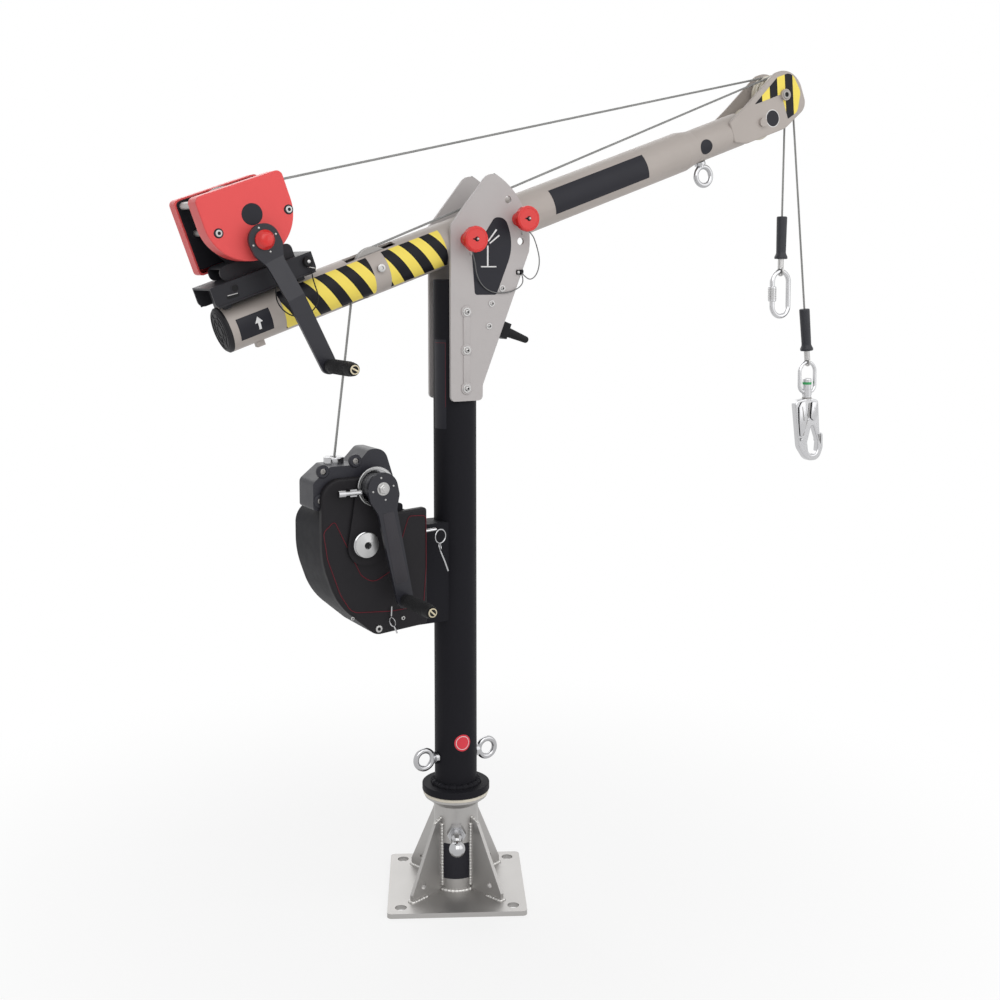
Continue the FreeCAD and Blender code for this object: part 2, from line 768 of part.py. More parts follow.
def cover_outline(shrink):
    """Return the D outline of the winch cover about the drum axis, drawn in by a wall."""
    radius = s.cover_radius - shrink
    top = s.cover_top - shrink
    corner = s.cover_corner - shrink
    bowl = radius * 0.999
    return [(-radius, top, corner), (-radius, -radius, bowl), (radius, -radius, bowl), (radius, top, corner)]


def plate_outline(shrink):
    """Return the rear plate's outline about the drum axis, drawn in by a wall."""
    half = s.cover_radius - shrink
    low = -(s.rear_cover_drop - shrink)
    top = s.cover_top - shrink
    return [(-half, top, s.plate_corner), (-half, low, s.plate_foot_corner), (half, low, s.plate_foot_round),
            (half, top, s.plate_corner)]


def make_winch():
    """Make the rail, the foot, the side plates, the covers, the rods and the drum."""
    half = s.rail_length / 2
    height = s.rail_top - s.rail_drop
    flange = [(-half, 0, s.rail_corner), (half, 0, s.rail_corner), (half, height, 0), (-half, height, 0)]
    rail = [put(extruded(f"rail_flange_{label}", flange, "rail_wall"),
                move(y=f"{side}*(rail_width-rail_wall)/2"))
            for label, side in (("front", -1), ("rear", 1))]
    rail.append(box("rail_web", "rail_length", "rail_width", "rail_wall",
                    move(z="rail_top-rail_drop-rail_wall")))
    for label, side in (("left", -1), ("right", 1)):
        rail.append(box(f"rail_saddle_{label}", "rail_saddle", "rail_saddle_width",
                        "rail_top-rail_drop+rail_saddle_sink",
                        move(f"{side}*(rail_length/2-2*rail_saddle)", 0, "-rail_saddle_sink")))
    seat = cylinder("rail_seat", "boom_od+2*weld_gap", "rail_length*2",
                    move("-rail_length", 0, "-rail_drop"), ALONG_X)
    pin_along = "rail_length/2-quick_pin_inset"
    pin_rise = "rail_top-rail_drop-quick_pin_drop"
    pin_hole = cylinder("quick_pin_hole", "quick_pin+2*weld_gap", "rail_width*2",
                        move(pin_along, "rail_width", pin_rise), ALONG_MINUS_Y)
    on_rail = move("winch_inset-boom_rear-rail_shift", 0, "rail_drop")
    node("winch_rail", cut("winch_rail", fuse("rail_whole", *rail), seat, pin_hole), ON_BOOM, on_rail)

    toe = s.foot_length / 2
    shell = [(-toe, 0, s.foot_corner), (toe, 0, 0), (toe, s.foot_height, s.foot_corner),
             (-toe, s.foot_height, s.foot_corner)]
    foot = extruded("foot_shell", shell, "foot_width")
    hollow = box("foot_hollow", "foot_length*2", "foot_width-2*foot_wall", "foot_height-foot_wall")
    node("winch_foot", cut("winch_foot", foot, hollow), ON_BOOM,
         move("winch_inset-boom_rear-foot_shift", 0, "rail_top"))

    foot_top = s.rail_top + s.foot_height - s.winch_rise
    half = s.cover_radius - s.cover_wall - s.seat_gap
    top = s.cover_top - s.cover_wall - s.seat_gap
    waist = -s.cover_radius / 3
    corner = s.side_corner
    bend = s.side_waist_round
    front_outline = [(-half, top, corner), (-half, waist, bend), (-s.side_tab, foot_top, 0),
                     (s.side_tab, foot_top, 0), (half, waist, bend), (half, top, corner)]
    node("winch_side_front", extruded("winch_side_front", front_outline, "side_thick"),
         ON_BOOM, ON_DRUM, move(y="-cover_back+side_thick/2"))
    rear_outline = [(-half, top, corner), (-half, foot_top, s.side_heel), (half, foot_top, s.side_toe),
                    (half, top, corner)]
    node("winch_side_rear", extruded("winch_side_rear", rear_outline, "side_thick"),
         ON_BOOM, ON_DRUM, move(y="rear_side-side_thick/2"))

    depth = "cover_face-cover_back"
    outer = extruded("cover_front_outer", cover_outline(0), depth, edge="cover_edge", ends=(-1,))
    inner = put(extruded("cover_front_inner", cover_outline(s.cover_wall), depth), move(y="cover_wall"))
    node("winch_cover_front", cut("winch_cover_front", outer, inner), ON_BOOM, ON_DRUM,
         move(y="-(cover_face+cover_back)/2"))
    depth = "rear_cover-rear_side"
    outer = extruded("cover_rear_outer", plate_outline(0), depth, edge="cover_edge", ends=(1,))
    inner = put(extruded("cover_rear_inner", plate_outline(s.cover_wall), depth), move(y="-cover_wall"))
    node("winch_cover_rear", cut("winch_cover_rear", outer, inner), ON_BOOM, ON_DRUM,
         move(y="(rear_cover+rear_side)/2"))

    rods = [cylinder(f"spacer_{index}", "spacer_od", "cover_back+rear_side-2*side_thick",
                     ON_DRUM, move(f"{along}*cover_radius", "side_thick-cover_back", f"{rise}*cover_radius"),
                     ALONG_Y)
            for index, (along, rise) in enumerate(((-0.85, 0.49), (-0.76, -0.145), (0.83, -0.155)))]
    face = s.rail_width / 2 + s.weld_gap
    head = s.quick_pin_head / 2
    pin = s.quick_pin / 2
    tail = -face - pin
    quick_pin = turned("quick_pin", [(0, tail, 0), (pin, tail, 2), (pin, face, 0), (head, face, 2),
                                     (head, face + head, 4), (0, face + head, 0)])
    put(quick_pin, on_rail, move(pin_along, 0, pin_rise), ALONG_MINUS_Y)
    node("winch_rods", fuse("winch_rods", *rods, quick_pin), ON_BOOM)

    low = -s.cover_back + s.side_thick + s.seat_gap
    high = s.rear_side - s.side_thick - s.seat_gap
    core = s.drum_core / 2
    flange = s.drum_flange / 2
    thick = s.drum_flange_thick
    drum = turned("winch_drum", square(
        (0, low), (flange, low), (flange, low + thick), (core, low + thick), (core, high - thick),
        (flange, high - thick), (flange, high), (0, high)))
    node("winch_drum", drum, ON_BOOM, ON_DRUM, ALONG_Y)
    wound = s.drum_rope_radius - s.rope_od / 2 - s.weld_gap
    coil = turned("wound_rope", square((core + s.weld_gap, low + thick), (wound, low + thick),
                                       (wound, high - thick), (core + s.weld_gap, high - thick)))
    node("wound_rope", coil, ON_BOOM, ON_DRUM, ALONG_Y)


def crank_arm(name, head_od, width, end_od, length, joggle):
    """Return the pieces of a crank arm along +X from its hub, stepped towards -Y, with its grip's pin."""
    head = getattr(s, head_od) / 2
    side = getattr(s, width) / 2
    end = getattr(s, end_od) / 2
    reach = getattr(s, length) + end
    upper = [(reach, end, end * 0.999), (head * 1.5, side, head * 0.7), (head * 0.62, head, head * 0.5),
             (-head, head, head * 0.999)]
    lower = [(along, -across, bend) for along, across, bend in reversed(upper)]
    depth = f"crank_arm_thick+{joggle}"
    arm = put(extruded(name + "_arm", [*lower, *upper], depth), move(y=f"-({depth})/2"))
    if joggle != "0":
        thick = s.crank_arm_thick
        step = getattr(s, joggle)
        first = s.crank_bend_start
        last = s.crank_bend_end
        profile = square((-head * 2, 0), (first, 0), (last, -step), (reach * 2, -step),
                         (reach * 2, -step - thick), (last, -step - thick), (first, -thick),
                         (-head * 2, -thick))
        arm = common(name + "_bent", arm, extruded(name + "_side", profile, f"{head_od}*2", "XY_Plane"))
    face = f"-crank_arm_thick-{joggle}"
    pin = cylinder(name + "_pin", "grip_pin_od", "grip_length+2*seat_gap+crank_arm_thick/2",
                   move(length, f"{face}+crank_arm_thick/2"), ALONG_MINUS_Y)
    screw = cylinder(name + "_screw", "grip_screw_od", "grip_screw",
                     move(length, f"{face}-grip_length-2*seat_gap"), ALONG_MINUS_Y)
    return [arm, pin, screw]


def crank_grip(name):
    """Return a grip about Z that turns on a crank's pin."""
    bore = s.grip_pin_od / 2 + s.bearing_gap
    outer = s.grip_od / 2
    ease = outer / 7
    return turned(name, [(bore, 0, 0), (outer - ease, 0, ease), (outer, s.grip_bulge, s.grip_bulge / 2),
                         (outer - ease / 2, s.grip_length / 2, s.grip_length / 2),
                         (outer, s.grip_length - s.grip_bulge, s.grip_bulge / 2),
                         (outer - ease, s.grip_length, ease), (bore, s.grip_length, 0)])


def make_winch_crank():
    """Make the winch's crank, its dome and its grip."""
    steps = [ON_BOOM, ON_DRUM, move("crank_shift", "-cover_face-seat_gap-crank_arm_stand", "-crank_drop"),
             spin("0;-1;0", "crank_arm_angle")]
    arm = crank_arm("winch_arm", "crank_head_od", "crank_arm_width", "crank_end_od", "crank_arm_length",
                    "crank_joggle")
    boss = cylinder("winch_boss", "crank_boss_od", "crank_arm_stand", ALONG_Y)
    node("winch_crank", fuse("winch_crank", boss, *arm), *steps)
    rim = s.dome_od / 2
    dome = turned("winch_dome", [(0, 0, 0), (rim, 0, 0), (rim, s.dome_rise / 4, 0),
                                 (rim * 0.62, s.dome_rise, rim / 2), (0, s.dome_rise * 1.07, 0)])
    node("winch_dome", dome, *steps, move(y="-crank_arm_thick"), ALONG_MINUS_Y)
    node("winch_grip", crank_grip("winch_grip"), *steps,
         move("crank_arm_length", "-crank_arm_thick-crank_joggle-seat_gap"), ALONG_MINUS_Y)


# Retriever

def retriever_outline():
    """Return the lower left of the retriever's outline, from its foot up to its widest place."""
    radius = s.retriever_radius
    low = -s.retriever_bottom
    return [(radius * 0.3, low, radius / 3), (-radius * 0.65, low * 0.62, radius * 1.6),
            (-radius, low * 0.155, radius * 2.1)]


def make_retriever():
    """Make the retriever's housing, cover, top block, carrier, bracket and fittings."""
    left = -s.retriever_radius
    right = s.housing_right
    low = -s.retriever_bottom
    ease = s.retriever_edge * 1.3
    face = s.retriever_face - s.retriever_cover_thick
    housing = [(right, low * 0.97, ease), *retriever_outline(), (left, s.housing_top, s.housing_shoulder),
               (right, s.housing_top, ease)]
    node("retriever_housing",
         extruded("retriever_housing", housing, "retriever_face-retriever_cover_thick+retriever_back",
                  edge="retriever_edge", ends=(1,)),
         ON_RETRIEVER, move(y="(retriever_back-retriever_face+retriever_cover_thick)/2"))

    hub = (s.retriever_crank_shift, s.retriever_crank_up)
    cover_top = hub[1] + s.crank_margin
    cover_step = hub[0] + s.crank_margin
    outline = [(s.carrier_right, low * 0.95, ease), *retriever_outline(),
               (left, cover_top, s.cover_shoulder), (cover_step, cover_top, ease),
               (cover_step, s.carrier_top - ease, ease), (s.carrier_right, s.carrier_top, ease)]
    cover = put(extruded("cover_plate", outline, "retriever_cover_thick", edge="retriever_edge", ends=(-1,)),
                move(y="-retriever_face+retriever_cover_thick/2"))
    wide = s.pad_radius
    narrow = s.pad_margin
    teardrop = [(-wide, -wide, wide * 0.9), (wide, -wide, wide * 0.9),
                (hub[0] + narrow, hub[1], narrow * 0.3),
                (hub[0] + narrow * 0.5, cover_top - ease, narrow * 0.3),
                (hub[0] - narrow, cover_top - ease, narrow * 0.8)]
    pad = put(extruded("cover_pad", teardrop, "pad_rise*2"), move(y="-retriever_face"))
    trim = put(extruded("pad_trim", outline, "pad_rise*2"), move(y="-retriever_face"))
    node("retriever_cover", fuse("retriever_cover", cover, common("pad_inside", pad, trim)), ON_RETRIEVER)

    base = s.housing_top
    high = base + s.block_height
    shelf = high - s.outlet_drop
    nut = s.outlet_od / 2 + ease
    outlet = -s.outlet_shift
    block = [(-s.block_left, base, ease), (-s.block_left, shelf - s.outlet_drop, ease * 2),
             (outlet - nut, shelf, ease), (outlet + nut, shelf, ease),
             (outlet + nut + s.outlet_drop, high, ease * 2), (s.block_right * 0.75, high, ease * 4),
             (s.block_right, base + s.block_height / 2, ease * 2), (s.block_right, base, ease)]
    top = extruded("top_blank", block, "retriever_face-retriever_cover_thick+block_back",
                   edge="retriever_edge", ends=(1,))
    put(top, move(y="(block_back-retriever_face+retriever_cover_thick)/2"))
    nut_place = move("-outlet_shift", "-sheave_spread/2", "housing_top+block_height-outlet_drop-outlet_sink")
    well = cylinder("outlet_well", "outlet_neck_od+2*weld_gap", "block_height", nut_place)
    node("retriever_top_block", cut("retriever_top_block", top, well), ON_RETRIEVER)

    wall = s.carrier_wall
    side = s.carrier_right
    back = s.retriever_back
    carrier = square((right + wall, back), (right + wall, back + wall), (side, back + wall), (side, -face),
                     (side - wall, -face), (side - wall, back))
    node("retriever_carrier",
         extruded("retriever_carrier", carrier, "carrier_top+retriever_bottom-2*carrier_lift", "XY_Plane"),
         ON_RETRIEVER, move(z="(carrier_top-retriever_bottom)/2"))

    seat = cylinder("bracket_seat", "mast_od+2*weld_gap", "pivot_height")
    solid = box("bracket_solid", "retriever_reach-carrier_right", "bracket_width", "bracket_height",
                move("(carrier_right-retriever_reach)/2", 0, "retriever_rise-bracket_drop"))
    node("mast_bracket", cut("mast_bracket", solid, seat))

    neck = s.outlet_neck_od / 2
    bore = s.outlet_bore / 2
    rim = s.outlet_od / 2
    nut_top = s.outlet_sink + s.outlet_height
    sink = s.outlet_sink
    outlet = turned("cable_outlet", [(bore, 0, 0), (neck, 0, 0), (neck, sink, 0), (rim, sink, 0),
                                     (rim, nut_top, ease / 2), (bore, nut_top, ease / 4)])
    put(outlet, nut_place)

    rim = s.disc_od / 2
    disc = turned("centre_disc", square((0, 0), (rim, 0), (rim, s.disc_thick / 3), (rim * 0.4, s.disc_thick),
                                        (0, s.disc_thick)))
    put(disc, move(y="-retriever_face-pad_rise"), ALONG_MINUS_Y)
    ring = turned("crank_ring", square((bore, 0), (s.retriever_ring_od / 2, 0),
                                       (s.retriever_ring_od / 2, s.retriever_ring), (bore, s.retriever_ring)))
    put(ring, move("retriever_crank_shift", "-retriever_face-pad_rise", "retriever_crank_up"), ALONG_MINUS_Y)
    stand = box("plunger_block", "pull_knob_od", "plunger_stand", "pull_knob_od",
                move(y="-plunger_stand/2", z="-pull_knob_od/2"))
    rod = cylinder("pull_rod", "pull_plunger_od", "pull_plunger_length",
                   move("-pull_plunger_length*0.6", "-plunger_stand"), ALONG_X)
    knob = cylinder("pull_knob", "pull_knob_od", "pull_knob_od",
                    move("-pull_plunger_length*0.8", "-plunger_stand"), ALONG_X)
    plunger = fuse("pull_plunger", stand, rod, knob)
    put(plunger, move("retriever_crank_shift-pull_plunger_gap", "-retriever_face",
                      "retriever_crank_up-pull_plunger_drop"))
    node("retriever_fittings", fuse("retriever_fittings", outlet, disc, ring, plunger), ON_RETRIEVER)

    steps = [ON_RETRIEVER,
             move("retriever_crank_shift", "-retriever_face-pad_rise-retriever_ring-retriever_boss-seat_gap",
                  "retriever_crank_up"),
             spin("0;-1;0", "retriever_arm_angle")]
    arm = crank_arm("retriever_arm", "retriever_head_od", "retriever_arm_width", "retriever_end_od",
                    "retriever_arm_length", "0")
    boss = cylinder("retriever_boss", "retriever_boss_od", "retriever_boss", ALONG_Y)
    node("retriever_crank", fuse("retriever_crank", boss, *arm), *steps)
    node("retriever_grip", crank_grip("retriever_grip"), *steps,
         move("retriever_arm_length", "-crank_arm_thick-seat_gap"), ALONG_MINUS_Y)


# Ropes and their ends

def on_boom(along, rise):
    """Return a point of the boom's frame in the davit's XZ plane."""
    turn = math.radians(s.luff)
    return Vector(along * math.cos(turn) - rise * math.sin(turn), 0,
                  s.pivot_height + along * math.sin(turn) + rise * math.cos(turn))


def ray(degrees):
    """Return a unit vector of the XZ plane."""
    return Vector(math.cos(math.radians(degrees)), 0, math.sin(math.radians(degrees)))


def bearing(vector):
    """Return the angle of a vector of the XZ plane."""
    return math.degrees(math.atan2(vector.z, vector.x))


def over_tangent(first, first_radius, second, second_radius):
    """Return the angle of the tangent points of a line over two circles."""
    span = second - first
    return bearing(span) + math.degrees(math.acos((first_radius - second_radius) / span.Length))


def arc_round(centre, radius, start, end):
    """Return an arc of a rope round a wheel between two angles."""
    points = [centre + ray(angle) * radius for angle in (start, (start + end) / 2, end)]
    return Part.Arc(*points)


def fall_frame(lean):
    """Return where a fall leaves its sheave, and its direction."""
    sheave = on_boom(s.tip_along, s.tip_rise)
    return sheave + ray(lean) * s.sheave_rope_radius, ray(lean - 90)


def rope_over_tip(name, start_edges, last_centre, last_radius, lean, fall, side):
    """Return a rope from its first edges over the tip sheave and down its fall."""
    sheave = on_boom(s.tip_along, s.tip_rise)
    radius = s.sheave_rope_radius
    over = over_tangent(last_centre, last_radius, sheave, radius)
    leave, down = fall_frame(lean)
    edges = [*start_edges,
             Part.LineSegment(last_centre + ray(over) * last_radius, sheave + ray(over) * radius),
             arc_round(sheave, radius, over, lean),
             Part.LineSegment(leave, leave + down * fall)]
    node(name, swept(name, edges, s.rope_od), move(y=f"{side}*sheave_spread/2"))


def make_ropes():
    """Make the winch rope and the retriever rope, each over its own sheave."""
    sheave = on_boom(s.tip_along, s.tip_rise)
    drum = on_boom(s.winch_inset - s.boom_rear, s.winch_rise)
    over = over_tangent(drum, s.drum_rope_radius, sheave, s.sheave_rope_radius)
    wrap = arc_round(drum, s.drum_rope_radius, over + 50, over)
    rope_over_tip("winch_rope", [wrap], drum, s.drum_rope_radius, s.winch_lean, s.winch_fall, 1)

    pulley = on_boom(-s.pulley_along, s.pulley_rise)
    floor = s.retriever_rise + s.housing_top + s.block_height - s.outlet_drop - s.outlet_sink
    outlet = Vector(-s.retriever_reach - s.outlet_shift, 0, floor)
    bend = outlet + Vector(0, 0, s.outlet_sink)
    span = bend - pulley
    meet = bearing(span) + 360 - math.degrees(math.acos(s.pulley_rope_radius / span.Length))
    over = over_tangent(pulley, s.pulley_rope_radius, sheave, s.sheave_rope_radius)
    touch = pulley + ray(meet) * s.pulley_rope_radius
    rise = rounded_edges([(*outlet, 0), (*bend, s.pulley_rope_radius), (*touch, 0)], closed=False)
    wrap = arc_round(pulley, s.pulley_rope_radius, meet, over)
    rope_over_tip("retriever_rope", [*rise, wrap], pulley, s.pulley_rope_radius, s.hook_lean, s.hook_fall,
                  -1)


def rope_end(name, lean, fall, side, loop_radius):
    """Return a rope's sleeve, its ferrule with a loop, and the loop's centre."""
    leave, down = fall_frame(lean)
    outer = s.grip_sleeve_od / 2
    flare = s.grip_sleeve_flare / 2
    bore = s.rope_od / 2 + s.weld_gap
    length = s.grip_sleeve_length
    rim = flare - outer
    sleeve = turned(f"{name}_sleeve", [(bore, 0, 0), (flare, 0, rim / 2), (flare, rim * 1.3, rim / 2),
                                       (outer, rim * 3.5, rim * 2), (outer + rim / 4, length, rim * 0.7),
                                       (bore, length, 0)])
    foot = leave + down * fall
    tilt = spin("0;-1;0", f"{name}_lean")
    middle = f"{side}*sheave_spread/2"
    put(sleeve, move(foot.x, middle, foot.z), tilt)
    centre = foot + down * (s.ferrule_length + loop_radius)
    ferrule = cylinder(f"{name}_ferrule", "ferrule_od", "ferrule_length+rope_od/2",
                       move(foot.x, middle, foot.z), tilt, DOWN)
    loop = torus(f"{name}_loop", loop_radius, "rope_od", move(centre.x, middle, centre.z), ALONG_X)
    return sleeve, fuse(f"{name}_thimble", ferrule, loop), centre


def make_rope_ends():
    """Make the sleeves and the thimbles of both ropes, and what hangs from them."""
    loops = [wire / 2 + s.rope_od / 2 + s.loop_gap for wire in (s.carabiner_wire, s.link_wire)]
    winch_sleeve, winch_thimble, winch_eye = rope_end("winch", s.winch_lean, s.winch_fall, 1, loops[0])
    hook_sleeve, hook_thimble, hook_eye = rope_end("hook", s.hook_lean, s.hook_fall, -1, loops[1])
    node("rope_sleeves", fuse("rope_sleeves", winch_sleeve, hook_sleeve))
    node("rope_thimbles", fuse("rope_thimbles", winch_thimble, hook_thimble))
    make_carabiner(winch_eye)
    make_hook(hook_eye)


def make_carabiner(centre):
    """Make the carabiner that hangs in the winch rope's loop."""
    wire = s.carabiner_wire
    half = (s.carabiner_width - wire) / 2
    low = -(s.carabiner_height - wire)
    bend = half * 0.999
    corners = [(-half, 0, low / 2, 0), (-half, 0, 0, bend), (half, 0, 0, bend), (half, 0, low, bend),
               (-half, 0, low, bend)]
    ring = swept("carabiner_ring", rounded_edges(corners), wire)
    place = move(centre.x, "sheave_spread/2", centre.z)
    node("carabiner", ring, place)
    inner = wire / 2 + s.weld_gap
    outer = s.screw_sleeve_od / 2
    sleeve = turned("screw_sleeve", [(inner, 0, 0), (outer, 0, 2), (outer, s.screw_sleeve_length, 2),
                                     (inner, s.screw_sleeve_length, 0)])
    node("screw_sleeve", sleeve, place,
         move("-(carabiner_width-carabiner_wire)/2", 0,
              "-(carabiner_height-carabiner_wire)/2-screw_sleeve_length/2"))


def make_hook(centre):
    """Make the swivel link that hangs in the retriever rope's loop, and the snap hook that turns in it."""
    wire = s.link_wire
    half = (s.link_width - wire) / 2
    low = -(s.link_height - wire)
    corners = [(-half, 0, low / 2, 0), (-half, 0, 0, half * 0.999), (half, 0, 0, half * 0.999),
               (half, 0, low, half * 2 / 3), (-half, 0, low, half * 2 / 3)]
    ring = swept("link_ring", rounded_edges(corners), wire)
    collar = cylinder("link_collar", "swivel_od", "swivel_length", move(z=low - s.swivel_length / 2))
    bore = cylinder("link_bore", "swivel_pin_od+2*bearing_gap", "swivel_length*2",
                    move(z=low - s.swivel_length))
    place = move(centre.x, "-sheave_spread/2", centre.z)
    node("swivel_link", cut("swivel_link", fuse("link_whole", ring, collar), bore), place)

    top = s.swivel_length / 2 + s.seat_gap
    pin = s.swivel_pin_od / 2
    head = s.swivel_head_od / 2
    crown = top + s.swivel_head
    foot = -top - s.hook_neck
    stem = turned("swivel_stem", [(0, foot - pin, 0), (head, foot - pin, 0), (head, -top, 0), (pin, -top, 0),
                                  (pin, top, 0), (head, top, 0), (head, crown, head / 3), (0, crown, 0)])
    unit = s.hook_height / 100
    outline, throat = ([(across * unit, foot + rise * unit, bend * unit) for across, rise, bend in corners]
                       for corners in (HOOK_OUTLINE, HOOK_THROAT))
    body = extruded("hook_body", outline, "hook_thick", holes=(throat,), edge="hook_edge")
    across, rise, tall = (number * unit for number in HOOK_SLIT)
    slit = box("hook_slit", "gate_slit", "hook_thick*2", tall, move(across, 0, foot + rise - tall / 2))
    node("snap_hook", fuse("snap_hook", stem, cut("hook_slitted", body, slit)), place, move(z=low))


def cord(name, origin, route):
    """Make a slack cord of straight runs and tangent arcs along a route from an origin."""
    points = [origin + Vector(*offset) for offset in route]
    corners = [(*points[0], 0)]
    for before, here, after in zip(points, points[1:], points[2:]):
        turn = (here - before).getAngle(after - here)
        shorter = min((here - before).Length, (after - here).Length)
        corners.append((*here, 0.45 * shorter / math.tan(turn / 2)))
    corners.append((*points[-1], 0))
    node(name, swept(name, rounded_edges(corners, closed=False), s.lanyard_od))


def make_lanyards():
    """Make the lanyards of the two head pins and of the winch rail's pin."""
    plate = Vector(0, -(s.mast_od / 2 + s.seat_gap + s.head_thick), s.pivot_height)
    cord("lock_pin_lanyard", plate, LOCK_LANYARD)
    cord("pivot_pin_lanyard", plate, PIVOT_LANYARD)
    rail = on_boom(s.winch_inset - s.boom_rear, s.rail_top)
    rail.y = -s.rail_width / 2
    cord("rail_pin_lanyard", rail, RAIL_LANYARD)


for step in (make_base, make_mast, make_head, make_boom, make_boom_tip, make_winch, make_winch_crank,
             make_retriever, make_ropes, make_rope_ends, make_lanyards):
    step()
doc.recompute()

for item in doc.Objects:
    if "Invalid" in item.State or "Error" in item.State:
        raise RuntimeError(f"{item.Label} failed: {item.State}")
os.makedirs("parts", exist_ok=True)
for item in nodes:
    if item.Shape.isNull() or not item.Shape.isValid():
        raise RuntimeError(f"{item.Label} has no valid shape")
    item.Shape.exportStep(f"parts/{item.Label}.step")
    print(item.Label, len(item.Shape.Solids), round(item.Shape.Volume / 1000, 1), "cm3")
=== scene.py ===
"""Dresses the floor mounted davit: finishes, decals, welds, fasteners, ropes and lanyards.

Each sub-assembly of the davit is a class that finishes its own CAD nodes and adds its own pieces.
Pieces are drawn in millimetres in the frame of what carries them, and stored in metres in the davit's frame.
"""

import logging
import math
from dataclasses import dataclass, field
from enum import Enum
from typing import Iterable, Sequence

import bmesh
import bpy
from mathutils import Matrix, Vector


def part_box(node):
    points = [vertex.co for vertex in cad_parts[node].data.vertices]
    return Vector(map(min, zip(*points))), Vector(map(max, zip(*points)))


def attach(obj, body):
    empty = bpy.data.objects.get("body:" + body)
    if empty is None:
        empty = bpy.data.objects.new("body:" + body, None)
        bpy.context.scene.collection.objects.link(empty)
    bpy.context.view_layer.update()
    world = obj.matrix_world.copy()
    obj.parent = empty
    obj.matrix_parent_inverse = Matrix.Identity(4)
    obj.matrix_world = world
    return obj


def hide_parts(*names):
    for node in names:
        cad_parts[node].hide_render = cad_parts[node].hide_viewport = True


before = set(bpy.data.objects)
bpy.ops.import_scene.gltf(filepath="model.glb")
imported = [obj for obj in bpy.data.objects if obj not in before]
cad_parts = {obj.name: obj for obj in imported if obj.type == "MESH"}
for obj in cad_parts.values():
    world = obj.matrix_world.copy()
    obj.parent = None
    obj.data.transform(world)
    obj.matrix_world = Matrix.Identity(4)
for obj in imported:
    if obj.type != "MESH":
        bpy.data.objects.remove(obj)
log = logging.getLogger("davit")

Colour = tuple[float, float, float]
Point = tuple[float, float]
Corner = tuple[float, float, float]
Spot = tuple[float, float, float]
Profile = tuple[Point, ...]
Corners = tuple[Corner, ...]
Box = tuple[Point, Point]
Place = Matrix
Socket = bpy.types.NodeSocket

MILLIMETRE = 0.001
MERGE_DISTANCE = 1e-4
SMOOTH_ANGLE = 35.0
ROPE_SMOOTH_ANGLE = 80.0
HEXAGON = 6

# How finely films and discs are divided, in millimetres and degrees.
FILM_COLUMN = 6.0
FILM_ROW_ANGLE = 5.0
DISC_RING = 2.0
DISC_LIP = 0.2


def shift(x: float = 0.0, y: float = 0.0, z: float = 0.0) -> Place:
    """Return a place that is only moved."""
    return Matrix.Translation((x, y, z))


def turn(axis: str, degrees: float) -> Place:
    """Return a place that is only turned."""
    return Matrix.Rotation(math.radians(degrees), 4, axis)


def looking(eye: Spot, direction: Vector) -> Place:
    """Return the place of a camera or lamp that looks in a direction."""
    return Matrix.Translation(eye) @ direction.to_track_quat("-Z", "Y").to_matrix().to_4x4()


LUFF = 19.5
PIVOT_HEIGHT = 1371.0
LOCK_ALONG = 128.0
BASE_TURN = -27.0
TUBE_RADIUS = 44.45
TIP_RADIUS = 38.05
ROPE_SPREAD = 12.0
ROPE_DIAMETER = 5.0

# How far the faces stand from the davit's middle plane.
HEAD_FACE = 50.75
RAIL_FACE = 54.0
BLOCK_FACE = 60.0
HOUSING_REAR = 70.0
RETRIEVER_FACE = 75.0
PAD_FACE = 81.0
WINCH_FACE = 82.0

# Places along the boom and above its middle line.
DRUM = (-428.0, 196.0)
PULLEY = (-196.0, 8.0)
SHEAVE = (913.0, 41.0)

# The retriever's disc, and the cranks' hubs in the frames of the winch and the retriever.
DISC = (-242.0, 0.0, 777.0)
WINCH_HUB = (4.0, -98.3, -53.0)
WINCH_CRANK_TURN = 82.8
RETRIEVER_HUB = (24.0, -108.3, 112.0)
RETRIEVER_CRANK_TURN = 78.3

# Turns a part's own X axis up and its Z axis backward.
UPRIGHT = turn("Y", -90)

BASE = turn("Z", BASE_TURN)
HEAD = shift(z=PIVOT_HEIGHT)
BOOM = HEAD @ turn("Y", -LUFF)
WINCH = BOOM @ shift(DRUM[0], 0, DRUM[1])
WINCH_CRANK = WINCH @ shift(*WINCH_HUB) @ turn("Y", WINCH_CRANK_TURN)
RETRIEVER = shift(*DISC)
RETRIEVER_CRANK = RETRIEVER @ shift(*RETRIEVER_HUB) @ turn("Y", RETRIEVER_CRANK_TURN)


class Body(Enum):
    """The bodies that pieces ride on."""

    BASE = "base"
    MAST = "mast"
    WINCH_CRANK = "winch_crank"
    WINCH_GRIP = "winch_grip"
    RETRIEVER_CRANK = "retriever_crank"
    RETRIEVER_GRIP = "retriever_grip"
    HOOK = "hook"


class Slot(Enum):
    """The record's material slots that pieces belong to."""

    STAINLESS = "stainless"
    ZINC = "zinc"
    GREY_PAINT = "grey_paint"
    BLACK_PAINT = "black_paint"
    RED_PAINT = "red_paint"
    RED_PLASTIC = "red_plastic"
    BLACK_PLASTIC = "black_plastic"
    WIRE_ROPE = "wire_rope"


class Coordinates(Enum):
    """The coordinates that a texture can follow."""

    OBJECT = "Object"
    UV = "UV"


class Side(Enum):
    """The davit's two sides, by the sign of the Y axis that points out of them."""

    FRONT = -1
    REAR = 1

    @property
    def face(self) -> Place:
        """Return the turn that points a part's own Z axis out of this side."""
        return turn("X", -90 * self.value)

    @property
    def up(self) -> int:
        """Return the sign of a drawing's own Y axis that points up on this side's face."""
        return -self.value

    @property
    def label(self) -> str:
        """Return the side's name for the names of pieces."""
        return self.name.lower()


